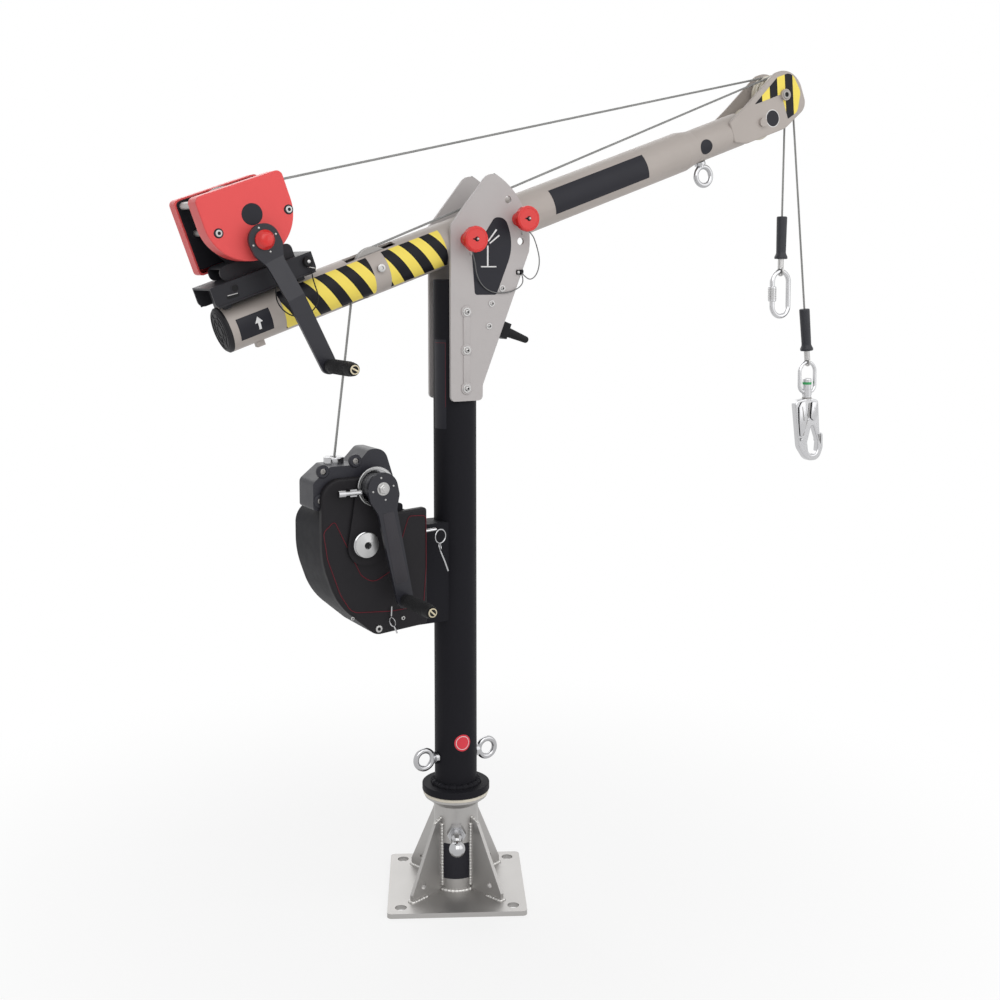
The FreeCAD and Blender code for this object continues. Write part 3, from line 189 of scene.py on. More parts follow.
class Graph:
    """A node tree with short calls for the nodes that the finishes and the studio use."""

    def __init__(self, tree: bpy.types.NodeTree) -> None:
        """Take up a tree."""
        self.tree = tree

    def feed(self, node: bpy.types.Node, socket: str | int, value: object) -> None:
        """Link an output to a node's input, or set the input's value.

        Args:
            node: The node that is fed.
            socket: Its input, by name or number.
            value: Another node's output, or a plain value.
        """
        if isinstance(value, Socket):
            self.tree.links.new(value, node.inputs[socket])
        else:
            node.inputs[socket].default_value = value

    def node(self, kind: str, inputs: dict[str | int, object] | None = None,
             **settings: object) -> bpy.types.Node:
        """Add a node, set its properties and feed its inputs.

        Args:
            kind: The node's type, by Blender's name.
            inputs: What is fed to the node's inputs, by their names or numbers.
            settings: The node's properties and their values.

        Returns:
            The new node.
        """
        made = self.tree.nodes.new(kind)
        for name, value in settings.items():
            setattr(made, name, value)
        for socket, value in (inputs or {}).items():
            self.feed(made, socket, value)
        return made

    def place(self, scale: Sequence[float] = (1, 1, 1), source: Coordinates = Coordinates.OBJECT) -> Socket:
        """Return texture coordinates stretched by a scale."""
        start = self.node("ShaderNodeTexCoord").outputs[source.value]
        return self.node("ShaderNodeMapping", {"Vector": start, "Scale": scale}).outputs[0]

    def noise(self, scale: float, detail: float = 2.0, stretch: Sequence[float] = (1, 1, 1)) -> Socket:
        """Return a noise value over the object."""
        inputs = {"Vector": self.place(stretch), "Scale": scale, "Detail": detail}
        return self.node("ShaderNodeTexNoise", inputs).outputs[0]

    def cells(self, scale: float) -> Socket:
        """Return the distances of a cell texture over the object."""
        return self.node("ShaderNodeTexVoronoi", {"Vector": self.place(), "Scale": scale}).outputs["Distance"]

    def band(self, value: Socket, low: float, high: float) -> Socket:
        """Return a value of 0 to 1 stretched to a range."""
        return self.node("ShaderNodeMapRange", {"Value": value, "To Min": low, "To Max": high}).outputs[0]

    def maths(self, operation: str, first: object, second: object = 0.0) -> Socket:
        """Return the result of a sum on sockets or numbers."""
        return self.node("ShaderNodeMath", {0: first, 1: second}, operation=operation).outputs[0]

    def blend(self, factor: Socket, first: Colour, second: Colour) -> Socket:
        """Return a colour between two, by a factor."""
        inputs = {"Factor": factor, 6: (*first, 1), 7: (*second, 1)}
        return self.node("ShaderNodeMix", inputs, data_type="RGBA").outputs[2]


class Surface(Graph):
    """A new material's node tree, with a principled shader linked to its output."""

    def __init__(self, name: str) -> None:
        """Make the material.

        Args:
            name: The material's name.
        """
        self.material = bpy.data.materials.new(name)
        self.material.use_nodes = True
        super().__init__(self.material.node_tree)
        self.tree.nodes.clear()
        self.shader = self.node("ShaderNodeBsdfPrincipled")
        self.output = self.node("ShaderNodeOutputMaterial", {"Surface": self.shader.outputs[0]})

    def set(self, **values: object) -> None:
        """Feed the shader's sockets, by names with underscores for spaces."""
        for name, value in values.items():
            self.feed(self.shader, name.replace("_", " "), value)

    def bump(self, height: Socket, strength: float, depth: float) -> None:
        """Give the shader a bump of a depth in metres."""
        inputs = {"Height": height, "Strength": strength, "Distance": depth}
        self.set(Normal=self.node("ShaderNodeBump", inputs).outputs[0])


def shade(colour: Colour, factor: float) -> Colour:
    """Return a colour made darker or lighter."""
    return tuple(min(1.0, channel * factor) for channel in colour)


@dataclass(frozen=True)
class Finish:
    """A surface finish that makes its material once."""

    name: str
    colour: Colour
    roughness: float = 0.4

    def material(self) -> bpy.types.Material:
        """Return the finish's material, which the first call makes.

        Returns:
            The material.
        """
        found = bpy.data.materials.get(self.name)
        if found is None:
            surface = Surface(self.name)
            self.dress(surface)
            found = surface.material
        return found

    def dress(self, surface: Surface) -> None:
        """Fill in the material's nodes."""
        raise NotImplementedError

    def tint(self, surface: Surface, value: Socket, tone: float) -> None:
        """Make the colour darker and lighter by a tone, with a value of 0 to 1."""
        colours = (shade(self.colour, factor) for factor in (1 - tone, 1 + tone))
        surface.set(Base_Color=surface.blend(value, *colours))

    def gloss(self, surface: Surface, value: Socket, smoother: float, rougher: float) -> None:
        """Make the surface smoother and rougher, with a value of 0 to 1."""
        surface.set(Roughness=surface.band(value, self.roughness - smoother, self.roughness + rougher))


@dataclass(frozen=True)
class Coat(Finish):
    """Paint or powder coat with a fine orange peel and slow changes of tone."""

    tone: float = 0.08
    tone_scale: float = 9.0
    smudge: float = 0.06
    smudge_scale: float = 35.0
    peel: float = 900.0
    peel_depth: float = 0.00006
    peel_strength: float = 0.35
    coat: float = 0.0
    coat_roughness: float = 0.15
    specular: float = 0.4

    def dress(self, surface: Surface) -> None:
        """Mix the tone, the gloss and the orange peel.

        Args:
            surface: The nodes of the new material.
        """
        self.tint(surface, surface.noise(self.tone_scale, detail=4.0), self.tone)
        self.gloss(surface, surface.noise(self.smudge_scale, detail=3.0), self.smudge, self.smudge)
        surface.set(Coat_Weight=self.coat, Coat_Roughness=self.coat_roughness)
        surface.set(Specular_IOR_Level=self.specular)
        surface.bump(surface.noise(self.peel), self.peel_strength, self.peel_depth)


@dataclass(frozen=True)
class Metal(Finish):
    """Bare or plated metal with stains and a fine grain."""

    stain: float = 0.1
    stain_scale: float = 14.0
    smudge: float = 0.07
    grain_scale: float = 260.0
    grain_depth: float = 0.00004
    grain_strength: float = 0.4

    def dress(self, surface: Surface) -> None:
        """Mix the stains, the gloss and the grain.

        Args:
            surface: The nodes of the new material.
        """
        surface.set(Metallic=1.0)
        self.tint(surface, surface.noise(self.stain_scale, detail=5.0), self.stain)
        grain = surface.noise(self.grain_scale, detail=3.0)
        self.gloss(surface, grain, self.smudge, self.smudge)
        surface.bump(grain, self.grain_strength, self.grain_depth)


@dataclass(frozen=True)
class Moulded(Finish):
    """Moulded plastic or rubber with a spark-eroded surface."""

    tone: float = 0.15
    tone_scale: float = 20.0
    polish: float = 0.05
    scuff: float = 0.08
    scuff_scale: float = 60.0
    pebble: float = 1400.0
    pebble_depth: float = 0.00008
    pebble_strength: float = 0.3
    specular: float = 0.2

    def dress(self, surface: Surface) -> None:
        """Mix the tone, the gloss and the pebbled surface.

        Args:
            surface: The nodes of the new material.
        """
        self.tint(surface, surface.noise(self.tone_scale, detail=3.0), self.tone)
        self.gloss(surface, surface.noise(self.scuff_scale, detail=3.0), self.polish, self.scuff)
        surface.set(Specular_IOR_Level=self.specular)
        surface.bump(surface.cells(self.pebble), self.pebble_strength, self.pebble_depth)


@dataclass(frozen=True)
class Stripes(Finish):
    """Tape with slanted stripes across its own UV map, which is in metres."""

    second: Colour = (0.009, 0.009, 0.012)
    second_from: float = 0.5
    specular: float = 0.15
    pitch: float = 0.0476
    slant: float = 0.45
    offset: float = 0.0
    polish: float = 0.08
    scuff: float = 0.1
    scuff_scale: float = 50.0
    film_scale: float = 420.0
    film_depth: float = 0.00005
    film_strength: float = 0.25

    def dress(self, surface: Surface) -> None:
        """Stripe the tape and give it a slightly worn film.

        Args:
            surface: The nodes of the new material.
        """
        parts = surface.node("ShaderNodeSeparateXYZ", {0: surface.place(source=Coordinates.UV)})
        lean = surface.maths("MULTIPLY", parts.outputs[1], self.slant)
        along = surface.maths("ADD", parts.outputs[0], lean)
        turns = surface.maths("ADD", surface.maths("DIVIDE", along, self.pitch), self.offset)
        dark = surface.maths("GREATER_THAN", surface.maths("FRACT", turns), self.second_from)
        surface.set(Base_Color=surface.blend(dark, self.colour, self.second))
        surface.set(Specular_IOR_Level=self.specular)
        self.gloss(surface, surface.noise(self.scuff_scale, detail=4.0), self.polish, self.scuff)
        surface.bump(surface.noise(self.film_scale, detail=3.0), self.film_strength, self.film_depth)


Finishes = dict[Finish, tuple[str, ...]]

BOOM_GREY = Coat("boom_grey_paint", (0.41, 0.368, 0.34), 0.45)
HEAD_GREY = Coat("head_grey_paint", (0.45, 0.425, 0.42), 0.45, tone=0.05)
BLACK_COAT = Coat("black_powder_coat", (0.015, 0.0148, 0.018), 0.5, peel=700.0, peel_depth=0.00012,
                  specular=0.05)
RAIL_BLACK = Coat("rail_black_coat", (0.022, 0.022, 0.026), 0.45, peel=700.0, peel_depth=0.0001, specular=0.2)
CRANK_BLACK = Coat("crank_black_coat", (0.02, 0.02, 0.026), 0.34, peel=700.0, specular=0.35)
COVER_RED = Coat("cover_red_paint", (0.76, 0.085, 0.085), 0.42, tone=0.05, specular=0.3)
KNOB_RED = Coat("knob_red_plastic", (0.66, 0.022, 0.02), 0.24, peel=300.0, peel_depth=0.00002, coat=0.15)
STAINLESS = Metal("blasted_stainless", (0.42, 0.41, 0.4), 0.45, grain_scale=900.0, stain=0.06)
WELD = Metal("weld_bead", (0.5, 0.49, 0.475), 0.36, grain_scale=300.0, grain_depth=0.0002)
ZINC = Metal("bright_zinc", (0.46, 0.455, 0.45), 0.36, stain=0.08)
BRUSHED = Metal("brushed_disc", (0.5, 0.5, 0.5), 0.34, grain_scale=600.0, stain=0.05)
SILVER = Metal("hook_silver", (0.55, 0.55, 0.56), 0.2, grain_scale=500.0, stain=0.04)
CHROME = Metal("polished_steel", (0.45, 0.45, 0.46), 0.16, stain=0.04, grain_depth=0.00001)
ROPE = Metal("rope_wire", (0.25, 0.25, 0.245), 0.36, grain_scale=1500.0, stain=0.15)
LANYARD_WIRE = Metal("lanyard_wire", (0.14, 0.14, 0.14), 0.38, grain_scale=1500.0)
BRASS = Metal("grip_brass", (0.56, 0.5, 0.36), 0.3)
BOLT_GREY = Metal("dull_bolt_steel", (0.26, 0.25, 0.24), 0.42)
MOULDED_BLACK = Moulded("moulded_black", (0.012, 0.012, 0.015), 0.5, specular=0.08)
BLOCK_GREY = Moulded("block_charcoal", (0.023, 0.023, 0.03), 0.4, specular=0.3)
SLEEVE_BLACK = Moulded("rope_sleeve_black", (0.024, 0.025, 0.031), 0.42, specular=0.35)
COVER_BLACK = Moulded("retriever_cover_black", (0.012, 0.011, 0.013), 0.55, pebble=900.0)
RUBBER = Moulded("black_rubber", (0.01, 0.01, 0.011), 0.62)
CAP_BLACK = Moulded("cap_black", (0.014, 0.014, 0.016), 0.48)
NYLON = Moulded("cream_nylon", (0.68, 0.63, 0.53), 0.42, pebble=500.0, specular=0.4)
ARM_GREY = Moulded("arm_grey_panel", (0.04, 0.038, 0.044), 0.5)
BAND_GREEN = Moulded("green_band", (0.05, 0.35, 0.12))
LINE_RED = Moulded("red_pinstripe", (0.11, 0.012, 0.02), 0.45)
LABEL_BLACK = Moulded("label_black_film", (0.018, 0.018, 0.024), pebble=300.0, pebble_depth=0.00002)
LABEL_WHITE = Moulded("label_white_ink", (0.75, 0.75, 0.75), 0.45)
LABEL_RED = Moulded("label_red_ink", (0.66, 0.05, 0.07))
LANYARD_BLACK = Moulded("lanyard_black_sheath", (0.012, 0.012, 0.013))
TAPE = Stripes("hazard_tape", (0.88, 0.71, 0.13))
TIP_TAPE = Stripes("tip_hazard_tape", (0.88, 0.71, 0.13), pitch=0.0486, slant=-0.267, offset=0.44)


def finish_nodes(finish: Finish, names: Iterable[str]) -> None:
    """Give CAD nodes a finish.

    Args:
        finish: The finish.
        names: The nodes' names.
    """
    for name in names:
        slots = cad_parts[name].data.materials
        slots.clear()
        slots.append(finish.material())


def rounded(corners: Iterable[Corner], steps: int = 6) -> list[Point]:
    """Return an outline with its corners turned into arcs.

    Args:
        corners: Corners as (x, y, radius), in order.
        steps: How many pieces each arc has.

    Returns:
        The outline's points, in order.
    """
    corners = list(corners)
    points: list[Point] = []
    for index, (x, y, radius) in enumerate(corners):
        here = Vector((x, y))
        if radius == 0:
            points.append((x, y))
            continue
        before = (Vector(corners[index - 1][:2]) - here).normalized()
        after = (Vector(corners[(index + 1) % len(corners)][:2]) - here).normalized()
        half = before.angle(after) / 2
        centre = here + (before + after).normalized() * (radius / math.sin(half))
        start = here + before * (radius / math.tan(half)) - centre
        sweep = start.angle_signed(here + after * (radius / math.tan(half)) - centre)
        for step in range(steps + 1):
            spoke = start.copy()
            spoke.rotate(Matrix.Rotation(-sweep * step / steps, 2))
            points.append((centre.x + spoke.x, centre.y + spoke.y))
    return points


def rectangle(low: Point, high: Point, radius: float = 0.0, steps: int = 6) -> list[Point]:
    """Return the outline of a rectangle between two corners, rounded by a radius."""
    corners = (low, (high[0], low[1]), high, (low[0], high[1]))
    return rounded([(x, y, radius) for x, y in corners], steps)


def circle(radius: float, steps: int = 32, x: float = 0.0, y: float = 0.0) -> list[Point]:
    """Return the points of a circle."""
    angles = (2 * math.pi * step / steps for step in range(steps))
    return [(x + radius * math.cos(angle), y + radius * math.sin(angle)) for angle in angles]


class Form:
    """A piece under construction, in millimetres in the frame of what carries it."""

    def __init__(self, place: Place = Matrix()) -> None:
        """Start an empty piece in a frame.

        Args:
            place: The frame that the piece is drawn in.
        """
        self.place = place
        self.mesh = bmesh.new()
        self.mesh.loops.layers.uv.new("skin")

    def take(self, part: bmesh.types.BMesh, place: Place) -> "Form":
        """Add a finished part to the piece, with its normals outward.

        Args:
            part: The part, which is used up.
            place: Where the part goes in the piece's frame.

        Returns:
            The piece itself.
        """
        bmesh.ops.recalc_face_normals(part, faces=part.faces)
        if part.calc_volume(signed=True) < 0:
            bmesh.ops.reverse_faces(part, faces=part.faces)
        part.transform(place)
        store = bpy.data.meshes.new("part")
        part.to_mesh(store)
        part.free()
        self.mesh.from_mesh(store)
        bpy.data.meshes.remove(store)
        return self

    def lathe(self, profile: Sequence[Point], place: Place = Matrix(), steps: int = 40) -> "Form":
        """Add a turned part about its own Z axis.

        Args:
            profile: Stations as (radius, height) of what shows; the underside is closed here.
            place: Where the part goes in the piece's frame.
            steps: How many facets go round.

        Returns:
            The piece itself.
        """
        first, last = profile[0], profile[-1]
        closing = (0.0, last[1]) if first[0] == 0 else first
        part = bmesh.new()
        ring = [part.verts.new((radius, 0, height)) for radius, height in (*profile, closing)]
        edges = [part.edges.new(pair) for pair in zip(ring, ring[1:])]
        bmesh.ops.spin(part, geom=[*ring, *edges], cent=(0, 0, 0), axis=(0, 0, 1), angle=2 * math.pi,
                       steps=steps, use_merge=True, use_duplicate=False)
        bmesh.ops.remove_doubles(part, verts=part.verts, dist=MERGE_DISTANCE)
        return self.take(part, place)

    def plate(self, outline: Sequence[Point], depth: float, place: Place = Matrix(),
              bevel: float = 0.0) -> "Form":
        """Add a flat part that stands on its own XY plane.

        Args:
            outline: Points of the outline, in order.
            depth: How far the part stands up.
            place: Where the part goes in the piece's frame.
            bevel: How far the upper rim is rounded off.

        Returns:
            The piece itself.
        """
        part = bmesh.new()
        skin = part.loops.layers.uv.new("skin")
        bottom = part.faces.new([part.verts.new((x, y, 0)) for x, y in outline])
        grown = bmesh.ops.extrude_face_region(part, geom=[bottom])["geom"]
        rise = [item for item in grown if isinstance(item, bmesh.types.BMVert)]
        bmesh.ops.translate(part, verts=rise, vec=(0, 0, depth))
        if bevel:
            rim = {edge for item in grown if isinstance(item, bmesh.types.BMFace) for edge in item.edges}
            bmesh.ops.bevel(part, geom=list(rim), offset=bevel, segments=2, profile=0.5, affect="EDGES",
                            material=-1)
        for face in part.faces:
            for loop in face.loops:
                loop[skin].uv = (loop.vert.co.x * MILLIMETRE, loop.vert.co.y * MILLIMETRE)
        return self.take(part, place)

    def wrap(self, radius: float, along: Point, angles: Point, thick: float = 0.25) -> "Form":
        """Add a film that lies on a tube along X; an angle of 0 faces the front and 90 is the top.

        Args:
            radius: The tube's radius.
            along: Where the film starts and ends along the tube.
            angles: Where it starts and ends round the tube, in degrees.
            thick: The film's thickness.

        Returns:
            The piece itself.
        """
        length = along[1] - along[0]
        sweep = angles[1] - angles[0]
        part = bmesh.new()
        skin = part.loops.layers.uv.new("skin")
        bmesh.ops.create_grid(part, x_segments=max(2, int(length / FILM_COLUMN)),
                              y_segments=max(2, int(sweep / FILM_ROW_ANGLE)), size=0.5)
        grown = bmesh.ops.extrude_face_region(part, geom=part.faces[:])["geom"]
        outer = [item for item in grown if isinstance(item, bmesh.types.BMVert)]
        bmesh.ops.translate(part, verts=outer, vec=(0, 0, thick))
        for vert in part.verts:
            x = along[0] + (vert.co.x + 0.5) * length
            angle = math.radians(angles[0] + (vert.co.y + 0.5) * sweep)
            for loop in vert.link_loops:
                loop[skin].uv = (x * MILLIMETRE, angle * radius * MILLIMETRE)
            reach = radius + vert.co.z
            vert.co = (x, -math.cos(angle) * reach, math.sin(angle) * reach)
        return self.take(part, Matrix())

    def bar(self, points: Sequence[Sequence[float]], radius: float, place: Place = Matrix(),
            closed: bool = False, sides: int = 3) -> "Form":
        """Add a round bar along points.

        Args:
            points: Points of the bar's middle line.
            radius: The bar's radius.
            place: Where the part goes in the piece's frame.
            closed: Whether the last point joins the first.
            sides: How fine the bar's section is.

        Returns:
            The piece itself.
        """
        line = bpy.data.curves.new("bar", "CURVE")
        line.dimensions = "3D"
        line.bevel_depth = radius
        line.bevel_resolution = sides
        line.use_fill_caps = not closed
        spline = line.splines.new("POLY")
        spline.points.add(len(points) - 1)
        for target, point in zip(spline.points, points):
            target.co = (*point, 1)
        spline.use_cyclic_u = closed
        carrier = bpy.data.objects.new("bar", line)
        store = bpy.data.meshes.new_from_object(carrier)
        part = bmesh.new()
        part.from_mesh(store)
        bpy.data.objects.remove(carrier)
        bpy.data.curves.remove(line)
        bpy.data.meshes.remove(store)
        return self.take(part, place)

    def disc(self, radius: float, thick: float, place: Place = Matrix(), inner: float = 0.0) -> "Form":
        """Add a flat disc or washer with many rings of faces, so that it can be bent.

        Args:
            radius: The disc's radius.
            thick: Its thickness.
            place: Where the part goes in the piece's frame.
            inner: The radius of the hole in it.

        Returns:
            The piece itself.
        """
        count = max(2, int((radius - inner) / DISC_RING))
        flat = [(inner + (radius - inner) * step / count, thick) for step in range(count + 1)]
        under = [(point[0], 0.0) for point in reversed(flat)]
        return self.lathe([*flat, (radius + DISC_LIP, 0), *under], place, steps=48)

    def ring(self, radius: float, wire: float, place: Place = Matrix()) -> "Form":
        """Add a ring of round wire about its own Z axis."""
        return self.bar([(x, y, 0) for x, y in circle(radius)], wire / 2, place, closed=True)

    def bend(self, radius: float) -> "Form":
        """Bend what lies flat in front of a tube along X round that tube.

        Args:
            radius: The tube's radius.

        Returns:
            The piece itself.
        """
        for vert in self.mesh.verts:
            angle = vert.co.z / radius
            reach = -vert.co.y
            vert.co = (vert.co.x, -reach * math.cos(angle), reach * math.sin(angle))
        return self

    def make(self, name: str, finish: Finish, smooth: float) -> bpy.types.Object:
        """Make the piece an object.

        Args:
            name: The object's name.
            finish: Its finish.
            smooth: The angle in degrees under which edges are shaded smooth.

        Returns:
            The new object.
        """
        self.mesh.transform(Matrix.Scale(MILLIMETRE, 4) @ self.place)
        limit = math.radians(smooth)
        for face in self.mesh.faces:
            face.smooth = True
        for edge in self.mesh.edges:
            edge.smooth = len(edge.link_faces) == 2 and edge.calc_face_angle(0) < limit
        store = bpy.data.meshes.new(name)
        self.mesh.to_mesh(store)
        self.mesh.free()
        store.materials.append(finish.material())
        piece = bpy.data.objects.new(name, store)
        bpy.context.collection.objects.link(piece)
        return piece


@dataclass(frozen=True)
class CapScrew:
    """A round socket screw head, drawn in shares of its radius and its height."""

    radius: float
    height: float
    rim: Profile = ((0.5, 0.35), (0.5, 1), (0.85, 1), (1, 0.8), (1, 0))
    floor: Profile = ((0, 0.35), (0.5, 0.35), (0.5, 0.2))
    # The shadow profile draws a dark disc of painted shade that covers the floor of the hexagon hole.
    shadow: Profile = ((0, 0.4), (0.5, 0.4), (0.5, 0.3))

    def sized(self, shares: Profile) -> list[Point]:
        """Return a profile in millimetres."""
        return [(self.radius * out, self.height * up) for out, up in shares]

    def head(self, form: Form, place: Place) -> None:
        """Add the head with its hexagon hole to a piece."""
        form.lathe(self.sized(self.rim), place, steps=24)
        form.lathe(self.sized(self.floor), place, HEXAGON)

    def socket(self, form: Form, place: Place) -> None:
        """Add a dark disc of painted shade over the floor of the hexagon hole to a piece."""
        form.lathe(self.sized(self.shadow), place, HEXAGON)


@dataclass(frozen=True)
class DomeBolt:
    """A domed bolt head on a washer.

    Its stations are a share of the radius outward, and a height with a share of the radius upward.
    """

    radius: float
    washer: Corners = ((0.6, 1.6, 0), (0.95, 1.6, 0), (1, 1.2, 0), (1, 0, 0))
    dome: Corners = ((0, 1.6, 0.5), (0.25, 1.5, 0.5), (0.5, 1, 0.375), (0.66, 1.4, 0))
    # The shadow stations draw a dark disc of painted shade in the hexagon hole.
    shadow: Corners = ((0, 1.75, 0.5), (0.26, 1.65, 0.5), (0.3, 1.2, 0.5))

    def sized(self, stations: Corners) -> list[Point]:
        """Return a profile in millimetres."""
        return [(self.radius * out, height + self.radius * up) for out, height, up in stations]

    def head(self, form: Form, place: Place) -> None:
        """Add the washer and the head to a piece."""
        form.lathe(self.sized(self.washer), place, steps=28)
        form.lathe(self.sized(self.dome), place, steps=24)

    def socket(self, form: Form, place: Place) -> None:
        """Add a dark disc of painted shade in the hexagon hole to a piece."""
        form.lathe(self.sized(self.shadow), place, HEXAGON)


@dataclass(frozen=True)
class SplitRing:
    """A ring of round wire, turned about the X axis and then about its own Y axis."""

    radius: float
    wire: float
    centre: Spot
    tilt: Point

    def add_to(self, form: Form) -> None:
        """Add the ring to a piece."""
        about_x, about_y = self.tilt
        form.ring(self.radius, self.wire, shift(*self.centre) @ turn("X", about_x) @ turn("Y", about_y))


@dataclass(frozen=True)
class Weld:
    """A weld bead of overlapping drops, whose sizes ripple along it."""

    width: float
    spacing: float = 0.3
    ripple: float = 0.05
    pace: float = 2.4

    def along(self, form: Form, start: Spot, end: Spot, place: Place, seed: float) -> None:
        """Add a straight bead to a piece.

        Args:
            form: The piece.
            start: Where the bead starts.
            end: Where it ends.
            place: Where the points' frame is in the piece's frame.
            seed: Moves the ripple, so that neighbouring beads differ.
        """
        first = Vector(start)
        span = Vector(end) - first
        count = max(3, int(span.length / (self.width * self.spacing)))
        for index in range(count):
            size = self.width * (0.5 + self.ripple * math.sin(seed + index * self.pace))
            self.drop(form, size, place @ Matrix.Translation(first + span * (index / (count - 1))))

    @staticmethod
    def around(form: Form, radius: float, height: float, drops: Iterable[Point]) -> None:
        """Add drops round the Z axis to a piece.

        Args:
            form: The piece.
            radius: How far the drops are from the axis.
            height: How high they are.
            drops: Each drop's angle in radians and its size.
        """
        for angle, size in drops:
            Weld.drop(form, size, shift(radius * math.cos(angle), radius * math.sin(angle), height))

    @staticmethod
    def drop(form: Form, size: float, place: Place) -> None:
        """Add one drop to a piece.

        Args:
            form: The piece.
            size: The drop's radius.
            place: Where it goes in the piece's frame.
        """
        part = bmesh.new()
        bmesh.ops.create_icosphere(part, subdivisions=2, radius=size)
        form.take(part, place)


@dataclass(frozen=True)
class Rib:
    """A bevelled rib round the Z axis: its radius and half its width, at the foot and at the top."""

    foot: Point
    top: Point
    steps: int = 40

    def add_to(self, form: Form, height: float) -> None:
        """Add the rib to a piece at a height.

        Args:
            form: The piece.
            height: Where the rib's middle is.
        """
        (low, wide), (high, narrow) = self.foot, self.top
        lower = [(low, height - wide), (high, height - narrow)]
        upper = [(high, height + narrow), (low, height + wide)]
        form.lathe(lower + upper, steps=self.steps)


@dataclass
class SubAssembly:
    """A group of CAD nodes with their finishes, and the pieces that dress them."""

    body: Body = Body.MAST
    finishes: Finishes = field(default_factory=dict)
    pieces: list[bpy.types.Object] = field(default_factory=list, init=False)

    def build(self) -> list[bpy.types.Object]:
        """Finish the CAD nodes and add the pieces.

        Returns:
            The new pieces, in order.
        """
        for finish, names in self.finishes.items():
            finish_nodes(finish, names)
        self.dress()
        return self.pieces

    def dress(self) -> None:
        """Add the sub-assembly's own pieces."""
        raise NotImplementedError

    def add(self, form: Form, name: str, finish: Finish, slot: Slot, body: Body | None = None,
            smooth: float = SMOOTH_ANGLE) -> bpy.types.Object:
        """Add a finished form as a piece.

        Args:
            form: The form.
            name: The piece's name.
            finish: Its finish.
            slot: The record's material slot that it belongs to; it is not used.
            body: The body that it rides on, where it isn't the sub-assembly's own.
            smooth: The angle in degrees under which edges are shaded smooth.

        Returns:
            The new piece.
        """
        piece = form.make(name, finish, smooth)
        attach(piece, (body or self.body).value)
        self.pieces.append(piece)
        return piece


@dataclass
class Base(SubAssembly):
    """The bolted base with its gussets, sleeve and index plunger."""

    body: Body = Body.BASE
    finishes: Finishes = field(default_factory=lambda: {
        STAINLESS: ("base_plate", "base_sleeve", "gusset_front_left", "gusset_front_right",
                    "gusset_rear_right", "gusset_rear_left"),
        CHROME: ("index_plunger",),
        NYLON: ("bearing_ring",),
    })
    sleeve_radius: float = 46.5
    plate_top: float = 10.0
    upright_weld: Weld = Weld(8.0)
    flat_weld: Weld = Weld(8.5)
    gusset_angles: tuple[float, ...] = (45.0, 135.0, 225.0, 315.0)
    gusset_edge: float = 5.0
    root_stand: float = 0.5
    root_seam: Point = (22.0, 150.0)
    foot_seam: Point = (94.0, 130.0)
    top_start: float = 163.5
    top_end: Point = (63.0, 156.5)
    toe: float = 132.5
    toe_edge: float = 4.0
    foot_stand: float = 1.0
    foot_drops: int = 24
    foot_sweep: float = 72.0
    foot_drop: float = 5.2
    foot_ripple: float = 0.4
    foot_pace: float = 2.1
    label_along: Point = (36.0, 112.0)
    label_angles: Point = (-38.0, 38.0)
    plunger_height: float = 138.0
    plunger_rib: Rib = Rib((8.4, 1.2), (9.6, 0.5))
    plunger_rib_heights: tuple[float, ...] = (53.5, 56.5, 59.5, 62.5, 65.5)
    plunger_collar: Profile = ((11, 18.2), (14.2, 18.2), (14.6, 19.2), (14.2, 20.4), (11, 20.4))

    def dress(self) -> None:
        """Add the welds, the dark label under the plunger and the plunger's ribs."""
        self._gusset_welds()
        self._sleeve_weld()
        label = Form(BASE @ UPRIGHT).wrap(self.sleeve_radius, self.label_along, self.label_angles)
        self.add(label, "plunger_label", LABEL_BLACK, Slot.STAINLESS)
        ribs = Form(BASE @ shift(0, -self.sleeve_radius, self.plunger_height) @ Side.FRONT.face)
        for height in self.plunger_rib_heights:
            self.plunger_rib.add_to(ribs, height)
        ribs.lathe(self.plunger_collar)
        self.add(ribs, "plunger_ribs", CHROME, Slot.STAINLESS)

    def _gusset_welds(self) -> None:
        """Add the beads along the edges of the gussets."""
        welds = Form(BASE)
        out = self.sleeve_radius + self.root_stand
        low, high = self.root_seam
        near, far = self.foot_seam
        top = ((self.sleeve_radius, 0, self.top_start), (self.top_end[0], 0, self.top_end[1]))
        toe = ((self.toe, -self.toe_edge, self.plate_top), (self.toe, self.toe_edge, self.plate_top))
        for index, angle in enumerate(self.gusset_angles):
            arm = turn("Z", angle)
            for side in (-1, 1):
                edge = side * self.gusset_edge
                self.upright_weld.along(welds, (out, edge, low), (out, edge, high), arm, index + side)
                foot = ((near, edge, self.plate_top), (far, edge, self.plate_top))
                self.flat_weld.along(welds, *foot, arm, index - side)
            self.upright_weld.along(welds, *top, arm, index)
            self.flat_weld.along(welds, *toe, arm, index)
        self.add(welds, "base_welds", WELD, Slot.STAINLESS)

    def _sleeve_weld(self) -> None:
        """Add the bead round the sleeve's foot between the gussets."""
        weld = Form(BASE)
        radius = self.sleeve_radius + self.foot_stand
        pitch = self.foot_sweep / (self.foot_drops - 1)
        for quarter in range(len(self.gusset_angles)):
            start = quarter * 360 / len(self.gusset_angles) - self.foot_sweep / 2
            drops = ((math.radians(start + step * pitch),
                      self.foot_drop + self.foot_ripple * math.sin(step * self.foot_pace + quarter))
                     for step in range(self.foot_drops))
            Weld.around(weld, radius, self.plate_top, drops)
        self.add(weld, "sleeve_weld", WELD, Slot.STAINLESS)


